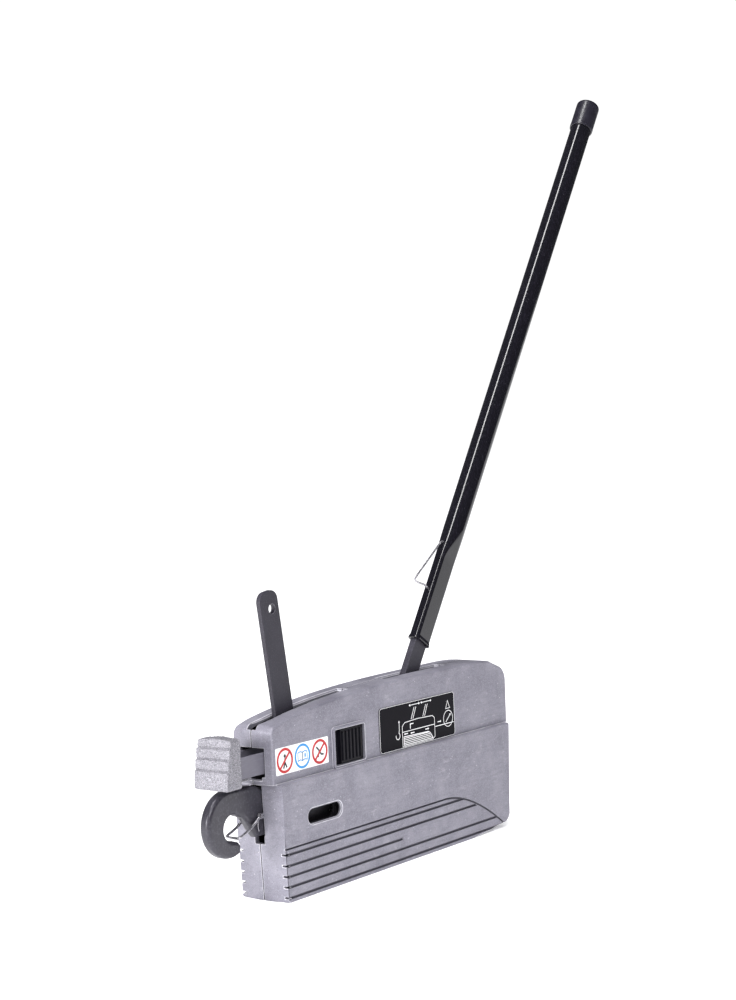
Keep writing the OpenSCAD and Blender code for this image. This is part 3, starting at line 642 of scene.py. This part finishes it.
def soft_light(name, place_at, target, size, power):
    """A rectangular light that faces its target."""
    light = bpy.data.lights.new(name, "AREA")
    light.shape = "RECTANGLE"
    light.size, light.size_y = size
    light.energy = power
    obj = bpy.data.objects.new(name, light)
    obj.location = place_at
    obj.rotation_euler = (Vector(target) - Vector(place_at)).to_track_quat("-Z", "Y").to_euler()
    bpy.context.scene.collection.objects.link(obj)


# ---------------------------------------------------------------- casings


def lower_ring(y, e, b, t):
    """Lower shell at depth y. Its ends are moved in by e, its bottom up by b and its top down by t."""
    points = [(-2.5 + e, b), (330, b), (402 - e, 6.5 + b), (409.5 - e, 12 + b), (415 - e, WAIST_Z - t),
              (-8.7 + e, WAIST_Z - t)]
    return [(x, y, z) for x, z in fillet(points, [2.0, 60, 9, 10, 1.2, 1.2])]


def upper_ring(y, e, t):
    """Upper shell at depth y. Its ends are moved in by e and its top down by t."""
    tuck = WAIST_Z - 0.4
    points = [(-3, 112), (408, 112), (408, tuck), (419 - e, tuck)]
    points += arc(401, 172 - t, 18.5 - e, 0, 75, 10)
    points += [(x, crown(x) - t) for x in range(385, 9, -15)]
    points += arc(-3, 172 - t, 9.5 - e, 105, 180, 10)
    points += [(-12.5 + e, tuck), (-3, tuck)]
    return [(x, y, z) for x, z in points]


def quarter_round(steps=6):
    """(sine, 1 - cosine) from the start to the end of a quarter turn."""
    angles = [math.radians(90 * k / steps) for k in range(1, steps + 1)]
    return [(math.sin(a), 1 - math.cos(a)) for a in angles]


def casing_outside(side):
    """Lower and upper shells of one half; side is -1 for the front and 1 for the rear."""
    round_y, round_z = (3.0, 2.4) if side < 0 else (6.0, 4.8)
    lower = [(0, 0.9, 0.9, 0.9), (0.6, 0, 0, 0), (9.4, 0, 0, 0), (30, 2.5, 0, 0)]
    lower += [(30 + 2 * s, 2.5 + 1.1 * c, 1.5 * c, 1.4 * c) for s, c in quarter_round()]
    upper = [(0, 0.9, 0.9), (0.6, 0, 0), (9.4, 0, 0)]
    flat = UPPER_HALF - round_y
    upper += [(flat, 1.6, 0)] + [(flat + round_y * s, 1.6 + 1.4 * c, round_z * c) for s, c in quarter_round(8)]
    return (Solid().loft([lower_ring(side * d, e, b, t) for d, e, b, t in lower]),
            Solid().loft([upper_ring(side * d, e, t) for d, e, t in upper]))


def casing_hollow(side):
    """The room inside one half, up to its walls."""
    y0, y1 = front_back(side, -1.0, LOWER_HALF - WALL)
    lower = Solid().slab([(4.2, WALL), (330, WALL), (396, 10.6), (401.5, 15), (407.5, WAIST_Z - WALL),
                          (-2.2, WAIST_Z - WALL)], y0, y1)
    y0, y1 = front_back(side, -1.0, UPPER_HALF - WALL)
    outline = [(1.6, 60), (404, 60), (411, 122)] + arc(400, 171, 14.5, 0, 75, 6)
    outline += [(x, crown(x) - WALL) for x in range(385, 9, -25)]
    outline += arc(1, 167, 9.5, 105, 180, 6) + [(-4.6, 122)]
    return [cut(lower), cut(Solid().slab(outline, y0, y1))]


def slot_flare(x0, x1):
    """A shallow widening along the top edge of a slot, which follows the crown."""
    rings = []
    steps, past_end = 10, 1.8
    for i in range(steps + 1):
        x = x0 - past_end + (x1 - x0 + 2 * past_end) * i / steps
        top = crown(x) if x > 10 else crown(10) - 0.8
        rings.append([(x, -5.4, top - 2.0), (x, 5.4, top - 2.0), (x, 8.0, top + 1.2), (x, -8.0, top + 1.2)])
    return Solid().loft(rings)


def panel_lines(side):
    """The sunk zone of the lower panel, the grooves across it, and the bow that closes them."""
    face = side * LOWER_HALF
    floor, deep, proud = face - side * PANEL_SINK, face - side * GROOVE_DEPTH, face + side * 1.0
    bow = [(BOW_START + BOW_LENGTH * u / 14, BOW_TOP - 52 * (u / 14) ** 1.7) for u in range(15)]
    slope = 1.4
    rings = []
    for y, lift in ((floor, -slope / 2), (proud, slope / 2 + slope / PANEL_SINK)):
        zone = [(-9, -3), (404 + lift, -3)] + [(x + lift, z + lift) for x, z in reversed(bow)]
        rings.append([(x, y, z) for x, z in zone + [(-9, BOW_TOP + lift)]])
    tools = [cut(Solid().loft(rings))]
    for z, end in GROOVES:
        rings = [[(x, deep, z - 0.6), (x, deep, z + 0.6), (x, proud, z + 1.5), (x, proud, z - 1.5)]
                 for x in (-8, end)]
        tools.append(cut(Solid().loft(rings)))
    line = [(-8.0, 54.9)] + [(x - 0.9, z - 1.2) for x, z in bow]
    rings = []
    for i, (x, z) in enumerate(line):
        a, b = Vector(line[max(i - 1, 0)]), Vector(line[min(i + 1, len(line) - 1)])
        t = (b - a).normalized()
        n = Vector((-t.y, t.x))
        corners = ((deep, -0.5), (deep, 0.5), (floor + side, 0.9), (floor + side, -0.9))
        rings.append([(x + n.x * w, y, z + n.y * w) for y, w in corners])
    tools.append(cut(Solid().loft(rings)))
    y0, y1 = front_back(side, 25.5, 34)
    for z, _ in GROOVES:
        tools.append(cut(Solid().block(-12, 4, y0, y1, z - 1.1, z + 1.1)))
    return tools


def shared_openings():
    """Lever slots, the openings at the hook end and the rope's way in."""
    tools = []
    for x0, x1 in TOP_SLOTS:
        tools.append(cut(Solid().block(x0, x1, -SLOT_HALF, SLOT_HALF, 140, 215)))
        tools.append(cut(slot_flare(x0, x1)))
    for half, z0, z1 in ((HOOK_T / 2 + 0.8, 66.9, 119), (6.3, 58.5, 68), (15.7, 128.4, 158), (12, 124.8, 129)):
        tools.append(cut(Solid().block(-30, 20, -half, half, z0, z1)))

    def inlet(x, y, h):
        return (h, x, ROPE_Z + y)

    for r, start in ((7, 366), (11, 386), (14.1, 408)):
        tools.append(cut(Solid().lathe([(0.01, start), (r, start), (r, 430), (0.01, 430)], inlet)))
    return tools


def screw_bosses(side):
    y0, y1 = front_back(side, 0.2, UPPER_HALF - 1)
    return [add(Solid().rod(at, 8, y0, y1, 32)) for at in SCREWS]


def window_bezel():
    """The raised frame round the catch's window."""
    x0, z0, x1, z1 = LOCK_WINDOW
    outer = rectangle(x0 - BEZEL_WIDTH, z0 - BEZEL_WIDTH, x1 + BEZEL_WIDTH, z1 + BEZEL_WIDTH, 4)
    return add(Solid().slab(outer, -UPPER_HALF - BEZEL_PROUD, -UPPER_HALF + 2, 0.8, 3))


def front_openings():
    """The catch's window, and the oval window with its flared rim."""
    window = Solid().slab(rectangle(*LOCK_WINDOW, 2), -UPPER_HALF - 4, -UPPER_HALF + WALL + 1)
    oval = rectangle(*OVAL_WINDOW, 7.49, 10)
    rims = ((-LOWER_HALF - 0.6, -2.0), (-LOWER_HALF + 1.4, 0.05))
    return [
        cut(window),
        cut(Solid().slab(oval, -LOWER_HALF - 1, -LOWER_HALF + WALL + 1)),
        cut(Solid().loft([[(x, y, z) for x, z in inset(oval, d)] for y, d in rims])),
    ]


def rear_openings():
    """Counterbored screw holes."""
    tools = []
    for at in SCREWS:
        tools.append(cut(Solid().rod(at, 5.6, 17, 34, 32)))
        tools.append(cut(Solid().rod(at, 3.1, -1, 34, 24)))
    return tools


def mark_grooves(obj):
    """Notes which faces lie in the parting line and the grooves, to be painted in shade there, and takes the
    edge wear off them.
    """
    parting, panel_top, panel_bottom, end_facing = 0.55, 58, 2.2, 0.85
    mesh = obj.data
    deep = mesh.attributes.new("deep", "FLOAT", "FACE")
    rim = mesh.attributes["rim"]
    for face in mesh.polygons:
        depth, height = abs(face.center.y) / MM, face.center.z / MM
        # The parting seam gets painted shade.
        if depth < parting:
            deep.data[face.index].value = 1.0
            rim.data[face.index].value = 0.0
            continue
        on_panel = panel_bottom <= height <= panel_top and abs(face.normal.x) <= end_facing
        if not on_panel or depth < LOWER_HALF - 2.6:
            continue
        # The groove faces get painted shade.
        if depth < LOWER_HALF - PANEL_SINK - 0.05:
            deep.data[face.index].value = 1.0
        rim.data[face.index].value = 0.0
    return obj


def make_casings():
    """Both hollow casing halves, each replacing its CAD node."""
    halves = (("front_casing_shell", "front_casing", -1), ("rear_casing_shell", "rear_casing", 1))
    for name, node, side in halves:
        lower, upper = casing_outside(side)
        steps = [add(upper)]
        if side < 0:
            steps.append(window_bezel())
        steps += casing_hollow(side) + screw_bosses(side) + shared_openings() + panel_lines(side)
        steps += front_openings() if side < 0 else rear_openings()
        shell = mark_grooves(soften(carve(lower.build(name), steps), 0.5))
        finish_piece(shell, "housing", "cast_alloy", [node], 24)


# ---------------------------------------------------------------- plate and sticker


def arrow_head(solid, x, z, direction, y0, y1, size=2.4):
    """A flat arrow head that points along direction from (x, z)."""
    dx, dz = direction
    tip = (x + dx * size, z + dz * size)
    a = (x - dz * size * 0.6, z + dx * size * 0.6)
    b = (x + dz * size * 0.6, z - dx * size * 0.6)
    solid.loft([[(p[0], y, p[1]) for p in (a, b, tip)] for y in (y0, y1)])


def make_plate():
    """Black plate with a plain line drawing of a hoist, its two levers, hook and rope."""
    face = -UPPER_HALF - 0.8
    panel = Solid().slab(rectangle(*PLATE, 4), face, -UPPER_HALF + 0.05, 0.25, 2)
    panel = panel.build("instruction_plate_panel")
    finish_piece(panel, "housing", "plate_black", ["instruction_plate"])

    y0, y1 = face - 0.06, face + 0.02
    ink = Solid()
    border = rectangle(PLATE[0] + 0.5, PLATE[1] + 0.5, PLATE[2] - 0.5, PLATE[3] - 0.5, 3.5)
    ink.ribbon(border, 0.45, y0, y1, True)
    body = [(209, 124.5), (266, 124.5), (270, 127), (270, 148), (266, 150.6), (238, 151.6), (214, 150.6),
            (209, 147)]
    ink.ribbon(body, 0.65, y0, y1, True)
    ink.ribbon([(209, 140.5), (270, 140.5)], 0.7, y0, y1)
    skirt = [(211.5, 126), (266, 126)]
    skirt += [(266 - 9 * k / 5, 126 + 8.2 * math.sin(math.pi / 2 * k / 5)) for k in range(1, 6)]
    skirt.append((211.5, 135.2))
    ink.ribbon(skirt, 0.9, y0, y1, True)
    for k in range(1, 5):
        ink.ribbon([(212, 126 + 1.85 * k), (264 - 1.2 * k, 126 + 1.85 * k)], 0.75, y0, y1)
    for x in (226, 248):
        for gap in (0, 3.4):
            ink.ribbon([(x + gap, 152.5), (x + gap + 6.2, 165.0)], 0.75, y0, y1)
        ink.ribbon([(x - 1, 168), (x + 15, 168)], 0.7, y0, y1)
        arrow_head(ink, x - 1, 168, (-1, 0), y0, y1)
        arrow_head(ink, x + 15, 168, (1, 0), y0, y1)
    ink.ribbon([(203.4, 152), (203.4, 144)] + arc(200.8, 137.5, 3.6, 60, -200, 14), 0.8, y0, y1)
    arrow_head(ink, 203.4, 152, (0, 1), y0, y1)
    ink.ribbon([(271, 137.6), (307, 137.6)], 0.8, y0, y1)
    ink.ribbon(arc(296.5, 143, 9, 0, 345, 23), 0.7, y0, y1, True)
    ink.ribbon([(292, 139.5), (300, 146.5)], 0.9, y0, y1)
    arrow_head(ink, 300, 146.5, (0.75, 0.66), y0, y1)
    ink.ribbon([(292.5, 154.5), (296.5, 163), (300.5, 154.5)], 0.6, y0, y1, True)
    for x, z, way in ((214, 138, -1), (226, 137.4, -1), (252, 137.4, 1), (276, 142, 1)):
        ink.ribbon([(x, z), (x + 5, z)], 1.0, y0, y1)
        arrow_head(ink, x + 5 if way > 0 else x, z, (way, 0), y0, y1, 2.0)
    ink.ribbon([(224, 142.5), (224, 147.5), (230, 147.5)], 1.0, y0, y1)
    lines = ink.build("plate_line_drawing")
    finish_piece(lines, "housing", "sticker_white")


def make_sticker():
    """White sticker with two crossed red rings round plain shapes and a blue ring round an open book."""
    face = -UPPER_HALF - 0.3
    panel = Solid().slab(rectangle(*STICKER, 1.2), face, -UPPER_HALF + 0.05).build("pictogram_sticker_panel")
    finish_piece(panel, "housing", "sticker_white", ["pictogram_sticker"])

    y0, y1 = face - 0.06, face + 0.02
    z = (STICKER[1] + STICKER[3]) / 2
    step = (STICKER[2] - STICKER[0]) / 3
    centres = [STICKER[0] + step * (i + 0.5) for i in range(3)]
    red, blue, black = Solid(), Solid(), Solid()
    slash = 10.6 * math.sqrt(0.5)
    for cx in (centres[0], centres[2]):
        red.ribbon(arc(cx, z, 11.5, 0, 352.5, 47), 2.8, y0, y1, True)
        red.ribbon([(cx - slash, z - slash), (cx + slash, z + slash)], 2.5, y0 - 0.05, y1)
    blue.ribbon(arc(centres[1], z, 11.5, 0, 352.5, 47), 2.5, y0, y1, True)
    cx = centres[1]
    for way in (-1, 1):
        page = [(cx, z - 4.6), (cx + way * 3.6, z - 3.5), (cx + way * 7.4, z - 4.4), (cx + way * 7.4, z + 4.0),
                (cx + way * 3.6, z + 4.9), (cx, z + 3.8)]
        blue.ribbon(page, 1.1, y0, y1, True)
    mark = rectangle(cx + 3.0, z - 1.6, cx + 5.4, z + 2.2, 0.4, 2)
    blue.loft([[(x, y, up) for x, up in mark] for y in (y0, y1)])
    cx = centres[0]
    head = arc(cx, z + 4.6, 1.9, 0, 337.5, 15)
    black.loft([[(x, y, up) for x, up in head] for y in (y0, y1)])
    black.ribbon([(cx + 0.3, z + 2.4), (cx - 0.2, z - 3.2), (cx - 2.6, z - 8)], 2.2, y0, y1)
    black.ribbon([(cx + 0.2, z - 2.2), (cx + 3.0, z - 7.6)], 1.9, y0, y1)
    cx = centres[2]
    bent = [(cx - 5.6, z + 5.4), (cx - 1.2, z + 1.4), (cx + 2.0, z - 3.0), (cx + 6.2, z - 3.4)]
    black.ribbon(bent, 2.0, y0, y1)
    black.ribbon([(cx - 0.8, z + 0.8), (cx - 3.2, z - 5.6)], 2.3, y0, y1)
    for solid, name, paint in ((red, "sticker_red_rings", "sign_red"), (blue, "sticker_blue_ring", "sign_blue"),
                               (black, "sticker_black_shapes", "sign_black")):
        finish_piece(solid.build(name), "housing", "sticker_white", paint=paint)


# ---------------------------------------------------------------- hook and latch


def hook_outline():
    """Side view of the hook: its shank round the pin, its bowl and its blunt point."""
    points = [(-48, 70), (-43.6, 68.6), (-41.2, 65.8), (-40.6, 61.5)]
    points += arc(-55, 88.5, 34, -66, -270, 48)
    points += [(-40, 122.3), (-22, 121.5), (-12, 118.6), (-2, 115.4)]
    points += arc(HOOK_PIN[0], HOOK_PIN[1], 15, 75, -55, 12)
    points += [(5, 74), (-1, 67.8), (-15.8, 67.8), (-21, 73.5), (-25, 79), (-31, 87), (-37, 92)]
    points += arc(-51.5, 84, 13, 48, 272, 32)
    return points[::-1] if area(points) < 0 else points


def area(points):
    """Area inside a closed outline, negative when it runs clockwise."""
    return sum(a[0] * b[1] - b[0] * a[1] for a, b in zip(points, points[1:] + points[:1])) / 2


def make_hook():
    """Forged hook: one outline with deeply rounded rims, drilled for its pin and the latch pin."""
    half = HOOK_T / 2
    body = Solid().slab(hook_outline(), -half, half, 4.3, 7).build("forged_hook")
    carve(body, [
        cut(Solid().rod(HOOK_PIN, 9.5, -10, 10)),
        cut(Solid().rod(LATCH, 1.7, -10, 10, 24)),
    ])
    finish_piece(soften(body, 0.3, 50), "hook", "hook_steel", ["load_hook"], 40)


def make_latch():
    """Bowed wire loop with an eye round each end of the latch pin, and its torsion spring."""
    tip, root = Vector((-47.6, 72.6)), Vector(LATCH)
    run = (tip - root).normalized()
    down = Vector((run.y, -run.x))
    reach = (tip - root).length - 4.0
    loop = Solid()
    path = []
    for side in (-1, 1):
        leg = []
        for k in range(9):
            u = k / 8
            p = root + run * (3.0 + (reach - 3.0) * u) + down * (-1.5 * math.sin(math.pi * u))
            leg.append((p.x, side * 9.0, p.y))
        corner = []
        for k in range(1, 6):
            a = math.radians(90 * k / 6)
            p = root + run * (reach + 3.2 * math.sin(a))
            corner.append((p.x, side * (5.8 + 3.2 * math.cos(a)), p.y))
        half = leg + corner
        path += half if side < 0 else half[::-1]
    loop.wire(path, 1.4)
    for y in (-9.7, 8.3):
        ring = [(1.68, y), (3.1, y), (3.1, y + 1.4), (1.68, y + 1.4)]
        loop.lathe(ring, lambda a, b, h: (LATCH[0] + a, h, LATCH[1] + b), 32)
    finish_piece(loop.build("latch_wire_loop"), "latch", "spring_steel", ["hook_latch"])

    turns, steps, r = 1.5, 36, 2.2
    path = []
    for i in range(steps + 1):
        a = 2 * math.pi * turns * i / steps
        path.append((LATCH[0] + r * math.cos(a), -6.95 - 0.45 * i / steps, LATCH[1] + r * math.sin(a)))
    path += [(-16.0, -7.15, 79.0), (-14.5, -7.15, 74.0)]
    coil = Solid().wire(path, 0.42, 8).build("latch_torsion_spring")
    finish_piece(coil, "hook", "spring_steel", ["latch_spring"])


# ---------------------------------------------------------------- release handle


def make_release():
    """Sand-cast push block with stepped bands, a crowned top and a rough skin, on two flat straps."""
    outline = [(-54, 125), (-54, 177), (-68.3, 177), (-69.4, 167.4), (-68.2, 167.0), (-68.3, 166.2),
               (-71, 165.8), (-71.7, 156.5), (-70.4, 156.1), (-70.5, 155.3), (-73, 154.9), (-73.6, 145.4),
               (-72.4, 145.0), (-72.5, 144.2), (-75, 143.8), (-76, 128.4), (-75, 125)]
    half = RELEASE_HALF
    block = Solid().slab(outline, -half, half).build("release_block_casting")
    section = fillet([(-half, 125), (half, 125), (half, 174.5), (0, 176.6), (-half, 174.5)],
                     [3.0, 3.0, 3.2, 60, 3.2])
    crowned = Solid().loft([[(x, y, z) for y, z in section] for x in (-80, -40)])
    carve(block, [("INTERSECT", crowned), add(Solid().block(-56, -26, -11, 11, 128.3, 131))])
    soften(block, 0.5, 30)
    remesh = block.modifiers.new("grain_cells", "REMESH")
    remesh.mode = "VOXEL"
    remesh.voxel_size = 0.0005
    even = block.modifiers.new("even", "SMOOTH")
    even.iterations = 1
    texture = bpy.data.textures.new("sand", "CLOUDS")
    texture.noise_scale = 0.0016
    texture.noise_depth = 2
    skin = block.modifiers.new("sand_skin", "DISPLACE")
    skin.texture = texture
    skin.texture_coords = "LOCAL"
    skin.strength = 0.0011
    skin.mid_level = 0.62
    bpy.context.view_layer.update()
    mesh = bpy.data.meshes.new_from_object(block.evaluated_get(bpy.context.evaluated_depsgraph_get()))
    block.modifiers.clear()
    block.data = mesh
    finish_piece(block, "release_handle", "release_casting", ["release_block"], 180)

    straps = Solid()
    for y0, y1 in ((-STRAP_OUT, -STRAP_IN), (STRAP_IN, STRAP_OUT)):
        straps.slab(rectangle(-66, STRAP_Z[0], 145, STRAP_Z[1], 1.0, 3), y0, y1, 0.35, 3)
    straps = straps.build("release_strap_pair")
    finish_piece(straps, "release_handle", "strap_steel", ["release_straps"])


def make_catch():
    """Ribbed catch that slides in the front window."""
    catch = Solid()
    catch.slab(rectangle(88, 122.3, 152.5, 162.8, 1), -UPPER_HALF + WALL + 0.2, -20.2, 0.3, 2)
    catch.slab(rectangle(101.7, 124.2, 139.5, 160.9, 1.2), -UPPER_HALF + 0.6, -21.0, 0.5, 3)
    for i in range(6):
        x = 103.6 + 6 * i
        catch.slab(rectangle(x, 127, x + 2.8, 158, 0.8, 3), -UPPER_HALF - 0.9, -24.6, 0.6, 3)
    catch = catch.build("ribbed_catch")
    finish_piece(catch, "lock_slide", "catch_plastic", ["lock_slide"])


# ---------------------------------------------------------------- levers


def turned(outline, pivot, lean):
    """An outline drawn upright from a pivot, leaned over by lean degrees towards the hook."""
    a = math.radians(lean)
    return [(pivot[0] + x * math.cos(a) - z * math.sin(a), pivot[1] + x * math.sin(a) + z * math.cos(a))
            for x, z in outline]


def make_reverse_lever():
    """Flat bar with a rounded tip and a hole, on a round root with a drive fork."""
    half, thick = REVERSE_W / 2, LEVER_T / 2
    bar = rectangle(-half, -4, half, REVERSE_REACH, 10.5, 9)
    body = Solid().slab(turned(bar, REVERSE, REVERSE_LEAN), -thick, thick, 0.7, 3).build("reverse_lever_bar")
    tail = turned([(-9, -40), (9, -40), (9, 4), (-9, 4)], REVERSE, -4)
    fork = turned([(-4.35, -48), (4.35, -48), (4.35, -34), (-4.35, -34)], REVERSE, -4)
    seat = turned([(0, -34)], REVERSE, -4)[0]
    hole = turned([(3, 184)], REVERSE, REVERSE_LEAN)[0]
    carve(body, [
        add(Solid().rod(REVERSE, 20, -thick, thick, 64)),
        add(Solid().slab(tail, -thick, thick)),
        cut(Solid().rod(REVERSE, 10.8, -5, 5)),
        cut(Solid().rod(seat, 4.35, -5, 5, 32)),
        cut(Solid().slab(fork, -5, 5)),
        cut(Solid().rod(hole, 5.1, -5, 5, 40)),
    ])
    soften(body, 0.3, 45)
    finish_piece(body, "reverse_lever", "lever_steel", ["reverse_lever"])


def make_stub():
    """Flat bar on a round root, gripped between the crank cheeks."""
    half = STUB_T / 2
    bar = rectangle(-11, -4, 11, 213, 3, 4)
    body = Solid().slab(turned(bar, CRANK, -LEVER_LEAN), -half, half, 0.8, 3).build("forward_stub_bar")
    holes = turned([(-17, 0), (17, 0), (0, -17)], CRANK, -LEVER_LEAN)
    steps = [add(Solid().rod(CRANK, 22, -half, half, 64))]
    steps.append(cut(Solid().rod(CRANK, 12.55, -9, 9)))
    steps += [cut(Solid().rod(at, 2.5, -9, 9, 24)) for at in holes]
    carve(body, steps)
    soften(body, 0.3, 45)
    finish_piece(body, "forward_crank", "lever_steel", ["forward_stub"])


def tube_outline(z, shrink, sides=12):
    """Section of the lever tube at a height along it, a rounded rectangle that turns into a circle.

    shrink moves the section inwards: the inner face of the wall has it positive, the rolled lip negative.
    """
    flat_w, flat_t, flat_top, round_from, r = 27.0, 13.0, 234.0, 277.0, 12.7
    u = min(max((z - flat_top) / (round_from - flat_top), 0.0), 1.0)
    u = u * u * (3 - 2 * u)
    w = flat_w / 2 + (r - flat_w / 2) * u - shrink
    t = flat_t / 2 + (r - flat_t / 2) * u - shrink
    corner = 4.0 + (r - 4.0) * u - shrink
    outline = []
    for sx, sy, start in ((1, 1, 0), (-1, 1, 90), (-1, -1, 180), (1, -1, 270)):
        for k in range(sides + 1):
            a = math.radians(start + 90 * k / sides)
            outline.append((sx * (w - corner) + corner * math.cos(a), sy * (t - corner) + corner * math.sin(a)))
    return outline


def make_tube():
    """Lever tube: flattened socket with a rolled lip, a smooth run into the round, and its wall."""
    foot, top, wall = TUBE_FOOT, LEVER_REACH - 4, TUBE_WALL
    heights = [foot + 6, 180, 215, 234] + [234 + 43 * k / 10 for k in range(1, 11)] + [420, 640, top]
    lip = [(0, 0.4), (0.2, -0.5), (0.8, -1.1), (2.2, -1.2), (3.6, -0.7), (4.8, -0.2)]
    outside = [(foot + up, shrink) for up, shrink in lip] + [(z, 0.0) for z in heights]
    inside = [(z, wall) for z in reversed(heights)] + [(foot + 0.5, wall - 0.1), (foot + 0.15, wall - 0.4)]
    rings = [[along_lever(x, y, z) for x, y in tube_outline(z, g)] for z, g in outside + inside]
    tube = Solid().loft(rings, closed=True).build("lever_tube_shell")
    finish_piece(tube, "lever_tube", "tube_black", ["lever_tube"], 40)


def make_end_cap():
    """Moulded cap over the tube's upper end, with a thin rim and a domed top."""
    r = 14.6
    profile = [(12.75, 858.6), (13.2, 858), (r - 0.6, 858), (r - 0.15, 858.2), (r, 858.8), (r + 0.05, 862),
               (r - 0.1, 864.5), (r - 0.12, 880)]
    for a in [math.radians(a) for a in range(0, 91, 10)]:
        profile.append((r - 4 + 3.9 * math.cos(a), LEVER_REACH - 4 + 4 * math.sin(a)))
    profile += [(4.0, LEVER_REACH), (0.02, LEVER_REACH - 0.2), (0.02, LEVER_REACH - 3.5),
                (12.75, LEVER_REACH - 3.5)]
    cap = Solid().lathe(profile, along_lever, 64).build("tube_end_cap_moulding")
    finish_piece(cap, "lever_tube", "cap_plastic", ["tube_end_cap"], 50)


def make_tube_clip():
    """Sprung wire clip whose two ends enter the flat of the tube."""
    bends = [(-10.4, 255.4), (-14.2, 255.4), (-16.4, 253.6), (-17.4, 251), (-29, 222.6), (-40.4, 195),
             (-41, 192), (-38.6, 190), (-24, 194.4), (-21, 195), (-11.6, 195)]
    path = [along_lever(x, 0, z) for x, z in rounded_path(bends)]
    clip = Solid().wire(path, 1.1).build("tube_clip_wire")
    finish_piece(clip, "tube_clip", "spring_steel", ["tube_clip"], 60)


def rounded_path(points, passes=2):
    """An open path with its corners cut, pass by pass."""
    for _ in range(passes):
        out = [points[0]]
        for a, b in zip(points, points[1:]):
            out.append((a[0] * 0.75 + b[0] * 0.25, a[1] * 0.75 + b[1] * 0.25))
            out.append((a[0] * 0.25 + b[0] * 0.75, a[1] * 0.25 + b[1] * 0.75))
        points = out + [points[-1]]
    return points


def make_inlet_guide():
    """Flanged bush whose rounded mouth leads into the bore for the rope."""
    mouth, bore = 3, INLET_BORE
    profile = [(bore, 386.2), (10.95, 386.2), (10.95, 408.1), (13.6, 408.1), (14, 408.5), (14, 415.2),
               (13.2, 416)]
    for a in [math.radians(a) for a in range(0, 91, 15)]:
        profile.append((bore + mouth - mouth * math.sin(a), 413 + mouth * math.cos(a)))
    guide = Solid().lathe(profile, lambda a, b, h: (h, a, ROPE_Z + b), 64).build("rope_inlet_bush")
    finish_piece(guide, "housing", "guide_iron", ["rope_inlet_guide"])


# ---------------------------------------------------------------- carried-over CAD nodes


def dress_cad_nodes():
    """Procedural materials, small bevels and smooth shading on the nodes that stay as they are."""
    slots = {part["node"]: part["material_slot"] for part in frame["record"]["subparts"]}
    for name, node in frame["nodes"].items():
        if node.type != "MESH" or node.hide_render:
            continue
        material = MATERIALS[slots[name]]
        for i in range(len(node.data.materials)):
            node.data.materials[i] = material
        if not node.data.materials:
            node.data.materials.append(material)
        smooth(node.data)
        bevel = node.modifiers.new("edge_break", "BEVEL")
        bevel.width = 0.25 * MM
        bevel.segments = 2
        bevel.limit_method = "ANGLE"
        bevel.angle_limit = math.radians(40)


make_stage()
make_casings()
make_plate()
make_sticker()
make_hook()
make_latch()
make_release()
make_catch()
make_reverse_lever()
make_stub()
make_tube()
make_end_cap()
make_tube_clip()
make_inlet_guide()
dress_cad_nodes()
